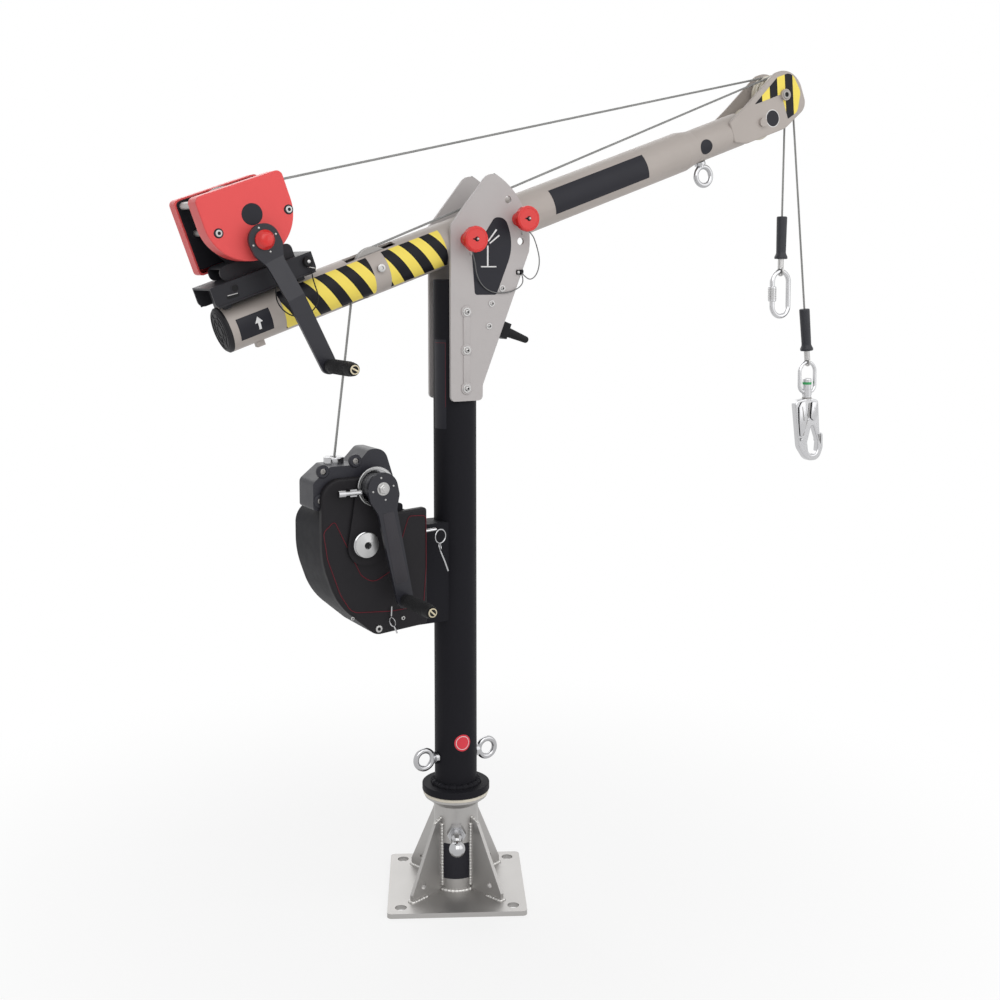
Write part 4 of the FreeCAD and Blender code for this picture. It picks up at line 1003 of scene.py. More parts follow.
@dataclass
class Mast(SubAssembly):
    """The black mast with its collar, eye bolts, badge and label."""

    finishes: Finishes = field(default_factory=lambda: {
        BLACK_COAT: ("mast_tube", "mast_collar", "mast_bracket"),
        CHROME: ("mast_eye_left", "mast_eye_right"),
    })
    weld_radius: float = 46.0
    weld_height: float = 231.3
    weld_drops: int = 64
    weld_drop: float = 7.0
    weld_ripples: Profile = ((1.1, 2.3), (0.8, 5.1))
    badge_turn: float = -9.0
    badge_height: float = 327.0
    badge_radius: float = 17.5
    badge_thick: float = 0.4
    ring_radii: Point = (13.2, 14.2)
    ring_thick: float = 0.6
    label_turn: float = -73.0
    label_along: Point = (985.0, 1168.0)
    label_angles: Point = (-22.0, 22.0)
    border: tuple[Box, ...] = (
        ((1030, 1162), (-20.5, -19.3)),
        ((1161, 1162), (-19.7, 18)),
    )
    border_thick: float = 0.4

    def dress(self) -> None:
        """Add the collar's weld, the badge with its ring and the label with its border."""
        self._collar_weld()
        front = turn("Z", self.badge_turn) @ UPRIGHT
        place = shift(self.badge_height, -TUBE_RADIUS) @ Side.FRONT.face
        badge = Form(front).disc(self.badge_radius, self.badge_thick, place).bend(TUBE_RADIUS)
        self.add(badge, "mast_badge", LABEL_RED, Slot.BLACK_PAINT)
        inner, outer = self.ring_radii
        ring = Form(front).disc(outer, self.ring_thick, place, inner).bend(TUBE_RADIUS)
        self.add(ring, "mast_badge_ring", LABEL_WHITE, Slot.BLACK_PAINT)
        side = turn("Z", self.label_turn) @ UPRIGHT
        label = Form(side).wrap(TUBE_RADIUS, self.label_along, self.label_angles)
        self.add(label, "mast_label", LABEL_BLACK, Slot.BLACK_PAINT)
        border = Form(side)
        for along, angles in self.border:
            border.wrap(TUBE_RADIUS, along, angles, self.border_thick)
        self.add(border, "mast_label_border", LINE_RED, Slot.BLACK_PAINT)

    def _collar_weld(self) -> None:
        """Add the uneven bead between the collar and the tube."""
        weld = Form()
        drops = ((2 * math.pi * step / self.weld_drops,
                  self.weld_drop + sum(swell * math.sin(step * pace) for swell, pace in self.weld_ripples))
                 for step in range(self.weld_drops))
        Weld.around(weld, self.weld_radius, self.weld_height, drops)
        self.add(weld, "collar_weld", BLACK_COAT, Slot.BLACK_PAINT)


@dataclass
class Head(SubAssembly):
    """The two head plates with their bolts, straps, label and handle."""

    finishes: Finishes = field(default_factory=lambda: {
        HEAD_GREY: ("head_plate_front", "head_plate_rear"),
        RUBBER: ("carrying_handle",),
    })
    strap_bolts: tuple[float, ...] = (-146.0, -224.0, -302.0)
    strap_bolt: DomeBolt = DomeBolt(9.0)
    strap_eye: float = 12.5
    strap_eye_thick: float = 2.2
    strap_half: float = 7.5
    strap_gap: float = 11.0
    strap_thick: float = 2.0
    strap_bevel: float = 0.8
    plain_bolts: tuple[Point, ...] = ((59, -130), (53, -176), (84, -99))
    plain_bolt: DomeBolt = DomeBolt(7.0)
    label: Corners = ((20, -112, 6), (70, -112, 7), (112, -12, 96), (92, 46, 22),
                      (66, 46, 14), (13, -30, 16))
    label_thick: float = 0.3
    drawing: tuple[Profile, ...] = (
        ((34, -56), (70, -56), (70, -53.5), (34, -53.5)),
        ((48, -53.5), (51.5, -53.5), (51.5, -12), (48, -12)),
        ((50, -2), (52, -4), (72, 20), (69, 22)),
        ((54, -6), (55, -8.5), (78, 8), (76, 10.5)),
    )
    ink_thick: float = 0.1
    clip_place: Point = (126.0, -66.0)
    clip_box: Box = ((-9, -5), (6, 5))
    clip_corner: float = 2.0
    clip_thick: float = 2.4
    clip_bevel: float = 0.6
    clip_ring: SplitRing = SplitRing(4.4, 1.8, (4.0, 1.0, 3.4), (0.0, 35.0))
    rivet: Profile = ((0, 4.2), (2.2, 3.8), (3.4, 2.4))
    rivet_across: float = -4.0

    def dress(self) -> None:
        """Add the bolts and straps of both plates, and the label and the clip of the front one."""
        for side in Side:
            self._bolts(side)
            self._strap(side)
        face = HEAD @ shift(y=-HEAD_FACE) @ Side.FRONT.face
        label = Form(face).plate(rounded(self.label, 8), self.label_thick)
        self.add(label, "head_label", LABEL_BLACK, Slot.GREY_PAINT)
        ink = Form(face @ shift(z=self.label_thick))
        for outline in self.drawing:
            ink.plate(outline, self.ink_thick)
        self.add(ink, "head_label_drawing", LABEL_WHITE, Slot.GREY_PAINT)
        self._clip(face @ shift(*self.clip_place))

    def _bolts(self, side: Side) -> None:
        """Add one plate's bolts, with painted shade in their sockets.

        Args:
            side: The plate's side.
        """
        face = HEAD @ shift(y=side.value * HEAD_FACE) @ side.face
        bolts = Form(face)
        sockets = Form(face)
        places = [(self.strap_bolt, shift(0, side.up * rise, self.strap_eye_thick))
                  for rise in self.strap_bolts]
        places += [(self.plain_bolt, shift(across, side.up * rise)) for across, rise in self.plain_bolts]
        for bolt, place in places:
            bolt.head(bolts, place)
            bolt.socket(sockets, place)
        self.add(bolts, f"head_bolts_{side.label}", ZINC, Slot.GREY_PAINT)
        # The dark discs in the bolts' sockets are painted shade.
        self.add(sockets, f"head_bolt_socket_shade_{side.label}", RUBBER, Slot.GREY_PAINT)

    def _strap(self, side: Side) -> None:
        """Add the strap that joins three bolts of one plate.

        Args:
            side: The plate's side.
        """
        strap = Form(HEAD @ shift(y=side.value * HEAD_FACE) @ side.face)
        for rise in self.strap_bolts:
            eye = circle(self.strap_eye, 40, 0, side.up * rise)
            strap.plate(eye, self.strap_eye_thick, bevel=self.strap_bevel)
        for upper, lower in zip(self.strap_bolts, self.strap_bolts[1:]):
            low, high = sorted((side.up * (upper - self.strap_gap), side.up * (lower + self.strap_gap)))
            link = rectangle((-self.strap_half, low), (self.strap_half, high))
            strap.plate(link, self.strap_thick, bevel=self.strap_bevel)
        self.add(strap, f"head_strap_{side.label}", HEAD_GREY, Slot.GREY_PAINT)

    def _clip(self, place: Place) -> None:
        """Add the dark clip that holds both lanyards' ends.

        Args:
            place: Where the clip is on the front plate.
        """
        clip = Form(place)
        clip.plate(rectangle(*self.clip_box, self.clip_corner, 4), self.clip_thick, bevel=self.clip_bevel)
        self.clip_ring.add_to(clip)
        self.add(clip, "lanyard_clip", RUBBER, Slot.GREY_PAINT)
        rivet = Form(place).lathe(self.rivet, shift(self.rivet_across), steps=20)
        self.add(rivet, "lanyard_rivet", ZINC, Slot.GREY_PAINT)


@dataclass(kw_only=True)
class Knob(SubAssembly):
    """A head pin's red knob, named for its pin and placed along the boom."""

    name: str
    along: float
    reach: float = 46.0
    rim: Profile = ((20.4, -0.4), (21.2, 0.8), (22.6, 0.8), (23.4, -0.4))
    ribs: int = 12
    rib_box: Box = ((24.8, -1.4), (26.6, 1.4))
    rib_corner: float = 0.6
    rib_length: float = 8.0
    rib_foot: float = -11.5
    rib_bevel: float = 0.3
    hole: Profile = ((0, 0.3), (4.6, 0.3), (5.2, -0.1))
    keyway: Corners = ((-9, -1.6, 1.2), (0, -1.6, 0), (0, 1.6, 0), (-9, 1.6, 1.2))
    keyway_thick: float = 0.3
    pin: Profile = ((0, 4.2), (1.6, 3.8), (2.6, 2.6), (2.8, 1.4), (2.2, 0.2))
    pin_place: Point = (0.6, 0.3)
    eye: SplitRing = SplitRing(6.5, 2.4, (-3.0, -26.0, -22.0), (0.0, 70.0))
    stalk: tuple[Spot, Spot] = ((-3, -19, -22), (-3, -21, -22))
    stalk_radius: float = 2.4

    def __post_init__(self) -> None:
        """Choose the finish of the pin."""
        self.finishes = {KNOB_RED: (f"{self.name}_pin",)}

    def dress(self) -> None:
        """Add the knob's rim, its grip ribs, painted shade in its centre hole and keyway, the bright pin and
        the eye.
        """
        luff = math.radians(LUFF)
        across, rise = self.along * math.cos(luff), self.along * math.sin(luff)
        face = HEAD @ shift(across, -HEAD_FACE - self.reach, rise) @ Side.FRONT.face
        rim = Form(face).lathe(self.rim)
        for step in range(self.ribs):
            spoke = turn("Z", step * 360 / self.ribs) @ shift(z=self.rib_foot)
            rim.plate(rectangle(*self.rib_box, self.rib_corner, 2), self.rib_length, spoke, self.rib_bevel)
        self.add(rim, f"{self.name}_knob_rim", KNOB_RED, Slot.RED_PLASTIC)
        # A dark film in the centre hole and the keyway is painted shade.
        hole = Form(face).lathe(self.hole, steps=28).plate(rounded(self.keyway, 4), self.keyway_thick)
        self.add(hole, f"{self.name}_knob_hole", RUBBER, Slot.RED_PLASTIC)
        pin = Form(face).lathe(self.pin, shift(*self.pin_place), steps=20)
        self.add(pin, f"{self.name}_knob_pin", ZINC, Slot.RED_PLASTIC)
        eye = Form(face)
        self.eye.add_to(eye)
        eye.bar(self.stalk, self.stalk_radius)
        self.add(eye, f"{self.name}_knob_ring", ZINC, Slot.RED_PLASTIC)


@dataclass
class Boom(SubAssembly):
    """The boom tube with its tapes, labels and end cap."""

    finishes: Finishes = field(default_factory=lambda: {
        BOOM_GREY: ("boom_tube",),
        CAP_BLACK: ("boom_end_cap",),
        CHROME: ("boom_eye",),
        BOLT_GREY: ("boom_pulley",),
    })
    tapes: tuple[Point, ...] = ((-412, -213), (-178, -45))
    tape_angles: tuple[Point, ...] = ((-57, 52), (128, 237))
    label_along: Point = (-507.0, -439.0)
    label_angles: Point = (-36.0, 21.0)
    label_thick: float = 0.25
    shaft_along: Point = (-468.5, -463.5)
    shaft_angles: Point = (-23.0, -3.0)
    ink_thick: float = 0.1
    arrow_head: Profile = ((-8, -4), (8, -4), (0, 8))
    arrow_along: float = -466.0
    arrow_stand: float = 0.2
    panel_along: Point = (228.0, 483.0)
    panel_angles: Point = (-30.0, 42.0)
    badge_place: Point = (657.0, -6.0)
    badge_radius: float = 17.0
    badge_thick: float = 0.4
    cap_end: float = -529.0
    cap_rings: tuple[float, ...] = (12.0, 25.0, 36.0)
    cap_ring_halves: Point = (1.4, 1.0)
    cap_ring_height: float = 1.2
    cap_spokes: int = 8
    cap_spoke: Box = ((13, -1), (35, 1))
    cap_spoke_height: float = 1.0
    cap_spoke_bevel: float = 0.3
    bolt: CapScrew = CapScrew(8.0, 3.0)
    bolt_stand: float = 4.0

    def dress(self) -> None:
        """Add the tapes, the labels, the badge, the cap's ribs and the pulley's bolts."""
        tape = Form(BOOM)
        for along in self.tapes:
            for angles in self.tape_angles:
                tape.wrap(TUBE_RADIUS, along, angles)
        self.add(tape, "boom_tapes", TAPE, Slot.GREY_PAINT)
        label = Form(BOOM).wrap(TUBE_RADIUS, self.label_along, self.label_angles, self.label_thick)
        self.add(label, "boom_label", LABEL_BLACK, Slot.GREY_PAINT)
        arrow = Form(BOOM)
        arrow.wrap(TUBE_RADIUS + self.label_thick, self.shaft_along, self.shaft_angles, self.ink_thick)
        place = shift(self.arrow_along, -TUBE_RADIUS - self.arrow_stand) @ Side.FRONT.face
        arrow.plate(self.arrow_head, self.ink_thick, place)
        self.add(arrow, "boom_arrow", LABEL_WHITE, Slot.GREY_PAINT)
        panel = Form(BOOM).wrap(TUBE_RADIUS, self.panel_along, self.panel_angles)
        self.add(panel, "boom_panel", LABEL_BLACK, Slot.GREY_PAINT)
        along, rise = self.badge_place
        place = shift(along, -TIP_RADIUS, rise) @ Side.FRONT.face
        badge = Form(BOOM).disc(self.badge_radius, self.badge_thick, place).bend(TIP_RADIUS)
        self.add(badge, "boom_badge", LABEL_BLACK, Slot.GREY_PAINT)
        self._cap()
        bolts = Form(BOOM)
        for side in Side:
            stand = side.value * (TUBE_RADIUS + self.bolt_stand)
            self.bolt.head(bolts, shift(PULLEY[0], stand, PULLEY[1]) @ side.face)
        self.add(bolts, "pulley_bolts", ZINC, Slot.ZINC)

    def _cap(self) -> None:
        """Add the end cap's rings and spokes."""
        cap = Form(BOOM @ shift(self.cap_end) @ UPRIGHT)
        wide, narrow = self.cap_ring_halves
        top = self.cap_ring_height
        for middle in self.cap_rings:
            inner = [(middle - wide, 0), (middle - narrow, top)]
            outer = [(middle + narrow, top), (middle + wide, 0)]
            cap.lathe(inner + outer)
        pitch = 360 / self.cap_spokes
        for step in range(self.cap_spokes):
            cap.plate(rectangle(*self.cap_spoke), self.cap_spoke_height, turn("Z", (step + 0.5) * pitch),
                      self.cap_spoke_bevel)
        self.add(cap, "cap_ribs", CAP_BLACK, Slot.BLACK_PLASTIC)


@dataclass
class BoomTip(SubAssembly):
    """The cheeks, sheaves and roller at the boom's tip."""

    finishes: Finishes = field(default_factory=lambda: {
        BOOM_GREY: ("tip_cheek_front", "tip_cheek_rear", "tip_axles"),
        NYLON: ("tip_sheave_front", "tip_sheave_rear", "tip_roller"),
    })
    film: float = 0.3
    badge_place: Point = (862.0, 0.0)
    badge_radius: float = 18.0
    badge_rim: Point = (18.6, 20.0)
    sector: Corners = ((-94, 3.5, 1), (-8.5, 4, 4), (-7, -55, 1), (26, -48, 24),
                       (50, -6, 26), (38, 44, 24), (-8, 44, 20))
    bolt_stand: float = 7.0
    bolt: Profile = ((5.2, 0.1), (5.6, 1.6), (9.4, 1.6), (10, 1), (10, -0.1))
    bolt_hole: Profile = ((0, 0.6), (2.4, 0.3), (5.4, 0.2))

    def dress(self) -> None:
        """Add the striped sector, the badge and the hollow axle bolt, with painted shade in its bore, on both
        cheeks.
        """
        for side in Side:
            cheek = BOOM @ shift(y=side.value * TIP_RADIUS) @ side.face
            axle = cheek @ shift(SHEAVE[0], side.up * SHEAVE[1])
            outline = [(x, side.up * y) for x, y in rounded(self.sector, 8)][::side.up]
            sector = Form(axle).plate(outline, self.film)
            self.add(sector, f"tip_sector_{side.label}", TIP_TAPE, Slot.GREY_PAINT)
            middle = cheek @ shift(*self.badge_place)
            badge = Form(middle).disc(self.badge_radius, self.film)
            self.add(badge, f"tip_badge_{side.label}", LABEL_BLACK, Slot.GREY_PAINT)
            inner, outer = self.badge_rim
            rim = Form(middle).disc(outer, self.film, inner=inner)
            self.add(rim, f"tip_badge_rim_{side.label}", LABEL_WHITE, Slot.GREY_PAINT)
            stand = axle @ shift(z=self.bolt_stand)
            bolt = Form(stand).lathe(self.bolt, steps=32)
            self.add(bolt, f"axle_bolt_{side.label}", BOLT_GREY, Slot.STAINLESS)
            # A dark disc in the hollow bolt's bore is painted shade.
            hole = Form(stand).lathe(self.bolt_hole, steps=24)
            self.add(hole, f"axle_bore_shade_{side.label}", RUBBER, Slot.STAINLESS)


@dataclass
class Winch(SubAssembly):
    """The winch's plates, covers, rods and drum."""

    finishes: Finishes = field(default_factory=lambda: {
        COVER_RED: ("winch_cover_front", "winch_cover_rear"),
        BLACK_COAT: ("winch_side_front", "winch_side_rear"),
        STAINLESS: ("winch_rods",),
        ZINC: ("winch_drum",),
        KNOB_RED: ("winch_dome",),
    })
    screw: CapScrew = CapScrew(6.5, 4.0)
    screws: tuple[Point, ...] = ((-66, -16.5), (76, -18))
    washer_radii: Point = (6.4, 9.0)
    washer_thick: float = 0.4
    badge_place: Point = (6.0, -4.0)
    badge_radius: float = 20.0
    badge_thick: float = 0.5
    wound_rows: Point = (-26.5, 36.5)
    wound_radius: float = 43.45
    wound_floor: float = 30.1
    groove_angles: tuple[float, ...] = tuple(range(-80, 81, 20))

    def dress(self) -> None:
        """Add the covers' screws, with painted shade in their hexagon holes, the dark disc and the turns of
        rope.
        """
        screws = Form(WINCH)
        discs = Form(WINCH)
        inner, outer = self.washer_radii
        for side in Side:
            for across, rise in self.screws:
                place = shift(across, side.value * WINCH_FACE, rise) @ side.face
                self.screw.head(screws, place)
                # The dark disc in each screw's hexagon hole is painted shade.
                self.screw.socket(discs, place)
                discs.disc(outer, self.washer_thick, place, inner)
        self.add(screws, "cover_screws", ZINC, Slot.RED_PAINT)
        across, rise = self.badge_place
        discs.disc(self.badge_radius, self.badge_thick, shift(across, -WINCH_FACE, rise) @ Side.FRONT.face)
        self.add(discs, "cover_discs", LABEL_BLACK, Slot.RED_PAINT)
        turns = Form(WINCH @ Side.REAR.face).lathe(self._wound_profile(), steps=64)
        piece = self.add(turns, "wound_turns", ROPE, Slot.WIRE_ROPE, smooth=ROPE_SMOOTH_ANGLE)
        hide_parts("wound_rope")

    def _wound_profile(self) -> list[Point]:
        """Return the profile of the rope's top layer, a row of round turns.

        Returns:
            Stations as (radius, place along the drum).
        """
        start, end = self.wound_rows
        half = ROPE_DIAMETER / 2
        count = int((end - start) / ROPE_DIAMETER)
        pitch = (end - start) / count
        profile = [(self.wound_floor, start)]
        for row in range(count):
            middle = start + (row + 0.5) * pitch
            for angle in map(math.radians, self.groove_angles):
                radius = self.wound_radius - half + math.cos(angle) * half
                profile.append((radius, middle + math.sin(angle) * pitch / 2))
        return [*profile, (self.wound_floor, end)]


@dataclass
class Rail(SubAssembly):
    """The rail and foot that carry the winch on the boom, with the quick pin."""

    finishes: Finishes = field(default_factory=lambda: {
        RAIL_BLACK: ("winch_rail", "winch_foot"),
    })
    lip_run: Point = (-532.0, -330.0)
    lip_rise: float = 49.5
    lip_radius: float = 2.0
    eye_place: Point = (-491.0, 73.0)
    eye_radius: float = 7.4
    eye_wire: float = 2.4
    eye_hole: float = 6.2
    film: float = 0.3
    slot: Corners = ((-512, 58, 2.8), (-487, 56, 2.8), (-487, 62, 2.8), (-512, 64, 2.8))
    glint: Box = ((-509, 64.6), (-489, 62.6))
    glint_radius: float = 0.9
    pin_place: Point = (-340.0, 72.0)
    pin_cap: Profile = ((3.4, 9.8), (8.2, 9.8), (9.6, 8.6), (9.6, 0.3))
    pin_end: Profile = ((0, 11), (2.4, 10.8), (3.4, 10), (3.4, 9.2))
    pin_ring: SplitRing = SplitRing(7.0, 1.8, (-338.0, -60.0, 59.0), (0.0, 30.0))

    def dress(self) -> None:
        """Add the rail's lips and eyes, painted shade in the eyes' holes and the slots, a painted highlight
        along each slot, and the quick pin's cap and ring.
        """
        lips = Form(BOOM)
        dark = Form(BOOM)
        bright = Form(BOOM)
        for side in Side:
            edge = side.value * RAIL_FACE
            lips.bar([(along, edge, self.lip_rise) for along in self.lip_run], self.lip_radius)
            eye = shift(self.eye_place[0], edge, self.eye_place[1]) @ side.face
            lips.ring(self.eye_radius, self.eye_wire, eye)
            # Dark films in the eye's hole and in the slot are painted shade.
            dark.disc(self.eye_hole, self.film, eye)
            slot = [(along, side.up * rise) for along, rise in rounded(self.slot, 4)]
            dark.plate(slot, self.film, shift(y=edge) @ side.face)
            # A thin zinc bar along the slot's top edge is a painted highlight.
            bright.bar([(along, edge, rise) for along, rise in self.glint], self.glint_radius)
        self.add(lips, "rail_lips", RAIL_BLACK, Slot.BLACK_PAINT)
        pin = shift(self.pin_place[0], -RAIL_FACE, self.pin_place[1]) @ Side.FRONT.face
        dark.lathe(self.pin_cap, pin)
        self.add(dark, "rail_hole_shade_and_pin_cap", RUBBER, Slot.BLACK_PAINT)
        bright.lathe(self.pin_end, pin, steps=24)
        self.pin_ring.add_to(bright)
        self.add(bright, "quick_pin_ring_and_slot_highlights", ZINC, Slot.STAINLESS)


@dataclass(kw_only=True)
class Crank(SubAssembly):
    """A crank with its hub, rivets and grip, named for what it turns."""

    name: str
    place: Place
    grip_body: Body
    length: float
    step: float
    rivet_radius: float
    panel: bool
    arm_face: float = 8.0
    rivets: int = 4
    rivet: Profile = ((0, 1.4), (1.6, 1), (2.2, 0))
    grip_end: float = 115.6
    grip_gap: float = 0.3
    screw: Profile = ((6.4, 0.3), (6.6, 1.5), (8.4, 1.5), (9, 0.8), (9, 0))
    screw_bar: Box = ((-6.6, -1.5), (6.6, 1.5))
    screw_bar_corner: float = 0.4
    screw_bar_height: float = 1.3
    screw_bar_turn: float = 35.0
    screw_floor: float = 6.3
    screw_floor_height: float = 0.4
    fine_bevel: float = 0.3
    grip_rib: Rib = Rib((12.8, 1.6), (13.9, 0.7))
    grip_ribs: int = 12
    grip_rib_start: float = 22.0
    grip_rib_pitch: float = 6.2
    panel_start: float = 48.0
    panel_end: float = 36.0
    panel_halves: Point = (12.0, 14.0)
    panel_corners: Point = (5.0, 6.0)
    panel_thick: float = 0.5
    panel_bevel: float = 0.2
    nut_washer: Profile = ((8, 1.4), (12.4, 1.4), (13, 0.8), (13, 0))
    nut: Profile = ((5.2, 6.4), (8.6, 6.4), (10.2, 5.2), (10.2, 1.2))
    nut_stud: Profile = ((0, 7.6), (4.2, 7.6), (5.2, 6.8), (5.2, 5.5))

    def __post_init__(self) -> None:
        """Choose the finishes of the arm and the grip."""
        self.finishes = {CRANK_BLACK: (f"{self.name}_crank",), RUBBER: (f"{self.name}_grip",)}

    def dress(self) -> None:
        """Add the hub's rivets, the grip's screw and ribs, and the panel of an arm that has one."""
        face = self.place @ shift(y=-self.arm_face) @ Side.FRONT.face
        rivets = Form(face)
        for x, y in circle(self.rivet_radius, self.rivets):
            rivets.lathe(self.rivet, shift(x, y), steps=16)
        self.add(rivets, f"{self.name}_hub_rivets", ZINC, Slot.ZINC)
        self._grip(self.place @ shift(self.length, -self.arm_face - self.step))
        if self.panel:
            self._panel(face)

    def _grip(self, end: Place) -> None:
        """Add the screw in the grip's end and the grip's ribs.

        Args:
            end: Where the grip starts on the arm.
        """
        tip = end @ shift(y=-self.grip_end) @ Side.FRONT.face
        screw = Form(tip).lathe(self.screw)
        screw.plate(rectangle(*self.screw_bar, self.screw_bar_corner, 3), self.screw_bar_height,
                    turn("Z", self.screw_bar_turn), self.fine_bevel)
        self.add(screw, f"{self.name}_grip_screw", BRASS, Slot.BLACK_PLASTIC)
        floor = Form(tip).disc(self.screw_floor, self.screw_floor_height)
        self.add(floor, f"{self.name}_grip_slot", RUBBER, Slot.BLACK_PLASTIC)
        ribs = Form(end @ shift(y=-self.grip_gap) @ Side.FRONT.face)
        for row in range(self.grip_ribs):
            self.grip_rib.add_to(ribs, self.grip_rib_start + row * self.grip_rib_pitch)
        self.add(ribs, f"{self.name}_grip_ribs", RUBBER, Slot.BLACK_PLASTIC, self.grip_body)

    def _panel(self, face: Place) -> None:
        """Add the grey inset panel on the arm and the nut on the hub.

        Args:
            face: The arm's front face, from the hub outward.
        """
        run = (self.panel_start, self.length - self.panel_end)
        ends = tuple(zip(run, self.panel_halves, self.panel_corners))
        lower = [(along, -half, corner) for along, half, corner in ends]
        upper = [(along, half, corner) for along, half, corner in reversed(ends)]
        panel = Form(face).plate(rounded(lower + upper), self.panel_thick, bevel=self.panel_bevel)
        self.add(panel, f"{self.name}_arm_panel", ARM_GREY, Slot.BLACK_PAINT)
        nut = Form(face).lathe(self.nut_washer)
        nut.lathe(self.nut, steps=HEXAGON)
        nut.lathe(self.nut_stud, steps=28)
        self.add(nut, f"{self.name}_hub_nut", ZINC, Slot.ZINC)


@dataclass
class Retriever(SubAssembly):
    """The rope retriever with its cover, top block and fittings."""

    finishes: Finishes = field(default_factory=lambda: {
        MOULDED_BLACK: ("retriever_housing",),
        BLOCK_GREY: ("retriever_top_block",),
        COVER_BLACK: ("retriever_cover",),
        BLACK_COAT: ("retriever_carrier",),
        CHROME: ("retriever_fittings",),
    })
    pinstripe: Corners = (
        (-61, 50, 5), (-84, 30, 14), (-76, -24, 60), (-50, -96, 60), (-26, -134, 30),
        (60, -141, 60), (130, -138, 10), (136, -60, 0), (136, 44, 9), (98, 46, 9),
        (84, 6, 20), (66, -56, 14), (20, -80, 26), (-6, -62, 20),
    )
    pinstripe_radius: float = 0.9
    pinstripe_stand: float = 0.3
    screw_height: float = 2.5
    cover_screws: Corners = ((-25, -145, 3.5), (31, -173, 7), (84, -158, 4))
    rear_screws: Corners = ((-62, 40, 5), (66, 40, 5), (66, -150, 5), (-28, -100, 5))
    disc_thick: float = 12.0
    disc_face: Profile = ((6.4, 0.4), (7.2, 3.2), (24.4, 0.4), (25.2, -1.2))
    disc_hole: Profile = ((0, 0.3), (6.6, 0.3), (6.8, 0))
    hub_ring: Profile = ((33, 1), (33.5, 3.4), (38, 3.4), (39, 2.4), (39, -0.5))
    lugs: tuple[Point, ...] = ((-78, 146), (-10, 162), (-84, 89), (55, 125))
    lug: Profile = ((6.5, -1), (6.5, 4), (11, 4), (13, 2), (13.5, -2))
    lug_screw: CapScrew = CapScrew(5.6, 2.6)
    pins: tuple[tuple[float, tuple[Spot, ...]], ...] = (
        (3.2, ((134, -50, 6), (158, -56, 9), (168, -58, 10))),
        (2, ((174, -62, -33), (184, -64, -58), (191, -64, -77))),
        (1.4, ((58, -78, -131), (56, -80, -150))),
        (1.6, ((60, -84, -169), (66, -85, -184))),
    )
    pin_rings: tuple[SplitRing, ...] = (
        SplitRing(14, 3, (176, -60, -5), (90, 15)),
        SplitRing(8, 2.4, (174, -62, -26), (70, 50)),
        SplitRing(9, 2.2, (57, -83, -161), (60, 30)),
    )

    def dress(self) -> None:
        """Add the pinstripe, the screws, the disc's face, the lugs and the ring pins."""
        line = [(x, y, self.pinstripe_stand) for x, y in rounded(self.pinstripe, 8)]
        stripe = Form(RETRIEVER @ shift(y=-RETRIEVER_FACE) @ Side.FRONT.face)
        stripe.bar(line, self.pinstripe_radius, closed=True, sides=1)
        self.add(stripe, "cover_pinstripe", LINE_RED, Slot.BLACK_PLASTIC)
        self._screws()
        self._disc()
        self._lugs()
        pins = Form(RETRIEVER)
        for radius, points in self.pins:
            pins.bar(points, radius)
        for ring in self.pin_rings:
            ring.add_to(pins)
        self.add(pins, "ring_pins", CHROME, Slot.ZINC)

    def _screws(self) -> None:
        """Add the screws of the cover and of the housing's rear, with painted shade in their sockets."""
        screws = Form(RETRIEVER)
        dark = Form(RETRIEVER)
        for side, face, places in ((Side.FRONT, RETRIEVER_FACE, self.cover_screws),
                                   (Side.REAR, HOUSING_REAR, self.rear_screws)):
            for across, rise, radius in places:
                screw = CapScrew(radius, self.screw_height)
                place = shift(across, side.value * face, rise) @ side.face
                screw.head(screws, place)
                screw.socket(dark, place)
        self.add(screws, "cover_bolts", ZINC, Slot.ZINC)
        # The dark discs in the screws' sockets are painted shade.
        self.add(dark, "cover_bolt_socket_shade", RUBBER, Slot.ZINC)

    def _disc(self) -> None:
        """Add the disc's turned face, with painted shade in its hexagon socket, and the bright ring behind
        the crank's hub.
        """
        front = shift(y=-PAD_FACE - self.disc_thick) @ Side.FRONT.face
        disc = Form(RETRIEVER).lathe(self.disc_face, front, steps=56)
        hub = shift(RETRIEVER_HUB[0], -PAD_FACE, RETRIEVER_HUB[2]) @ Side.FRONT.face
        disc.lathe(self.hub_ring, hub, steps=64)
        self.add(disc, "disc_face", BRUSHED, Slot.ZINC)
        # A dark hexagon film in the disc's socket is painted shade.
        hexagon = Form(RETRIEVER @ front).lathe(self.disc_hole, steps=HEXAGON)
        self.add(hexagon, "disc_socket_shade", RUBBER, Slot.ZINC)

    def _lugs(self) -> None:
        """Add the top block's bolt lugs with their screws."""
        face = RETRIEVER @ shift(y=-BLOCK_FACE) @ Side.FRONT.face
        lugs = Form(face)
        screws = Form(face)
        for place in self.lugs:
            lugs.lathe(self.lug, shift(*place))
            self.lug_screw.head(screws, shift(*place))
        self.add(lugs, "block_lugs", BLOCK_GREY, Slot.BLACK_PLASTIC)
        self.add(screws, "block_screws", BOLT_GREY, Slot.ZINC)


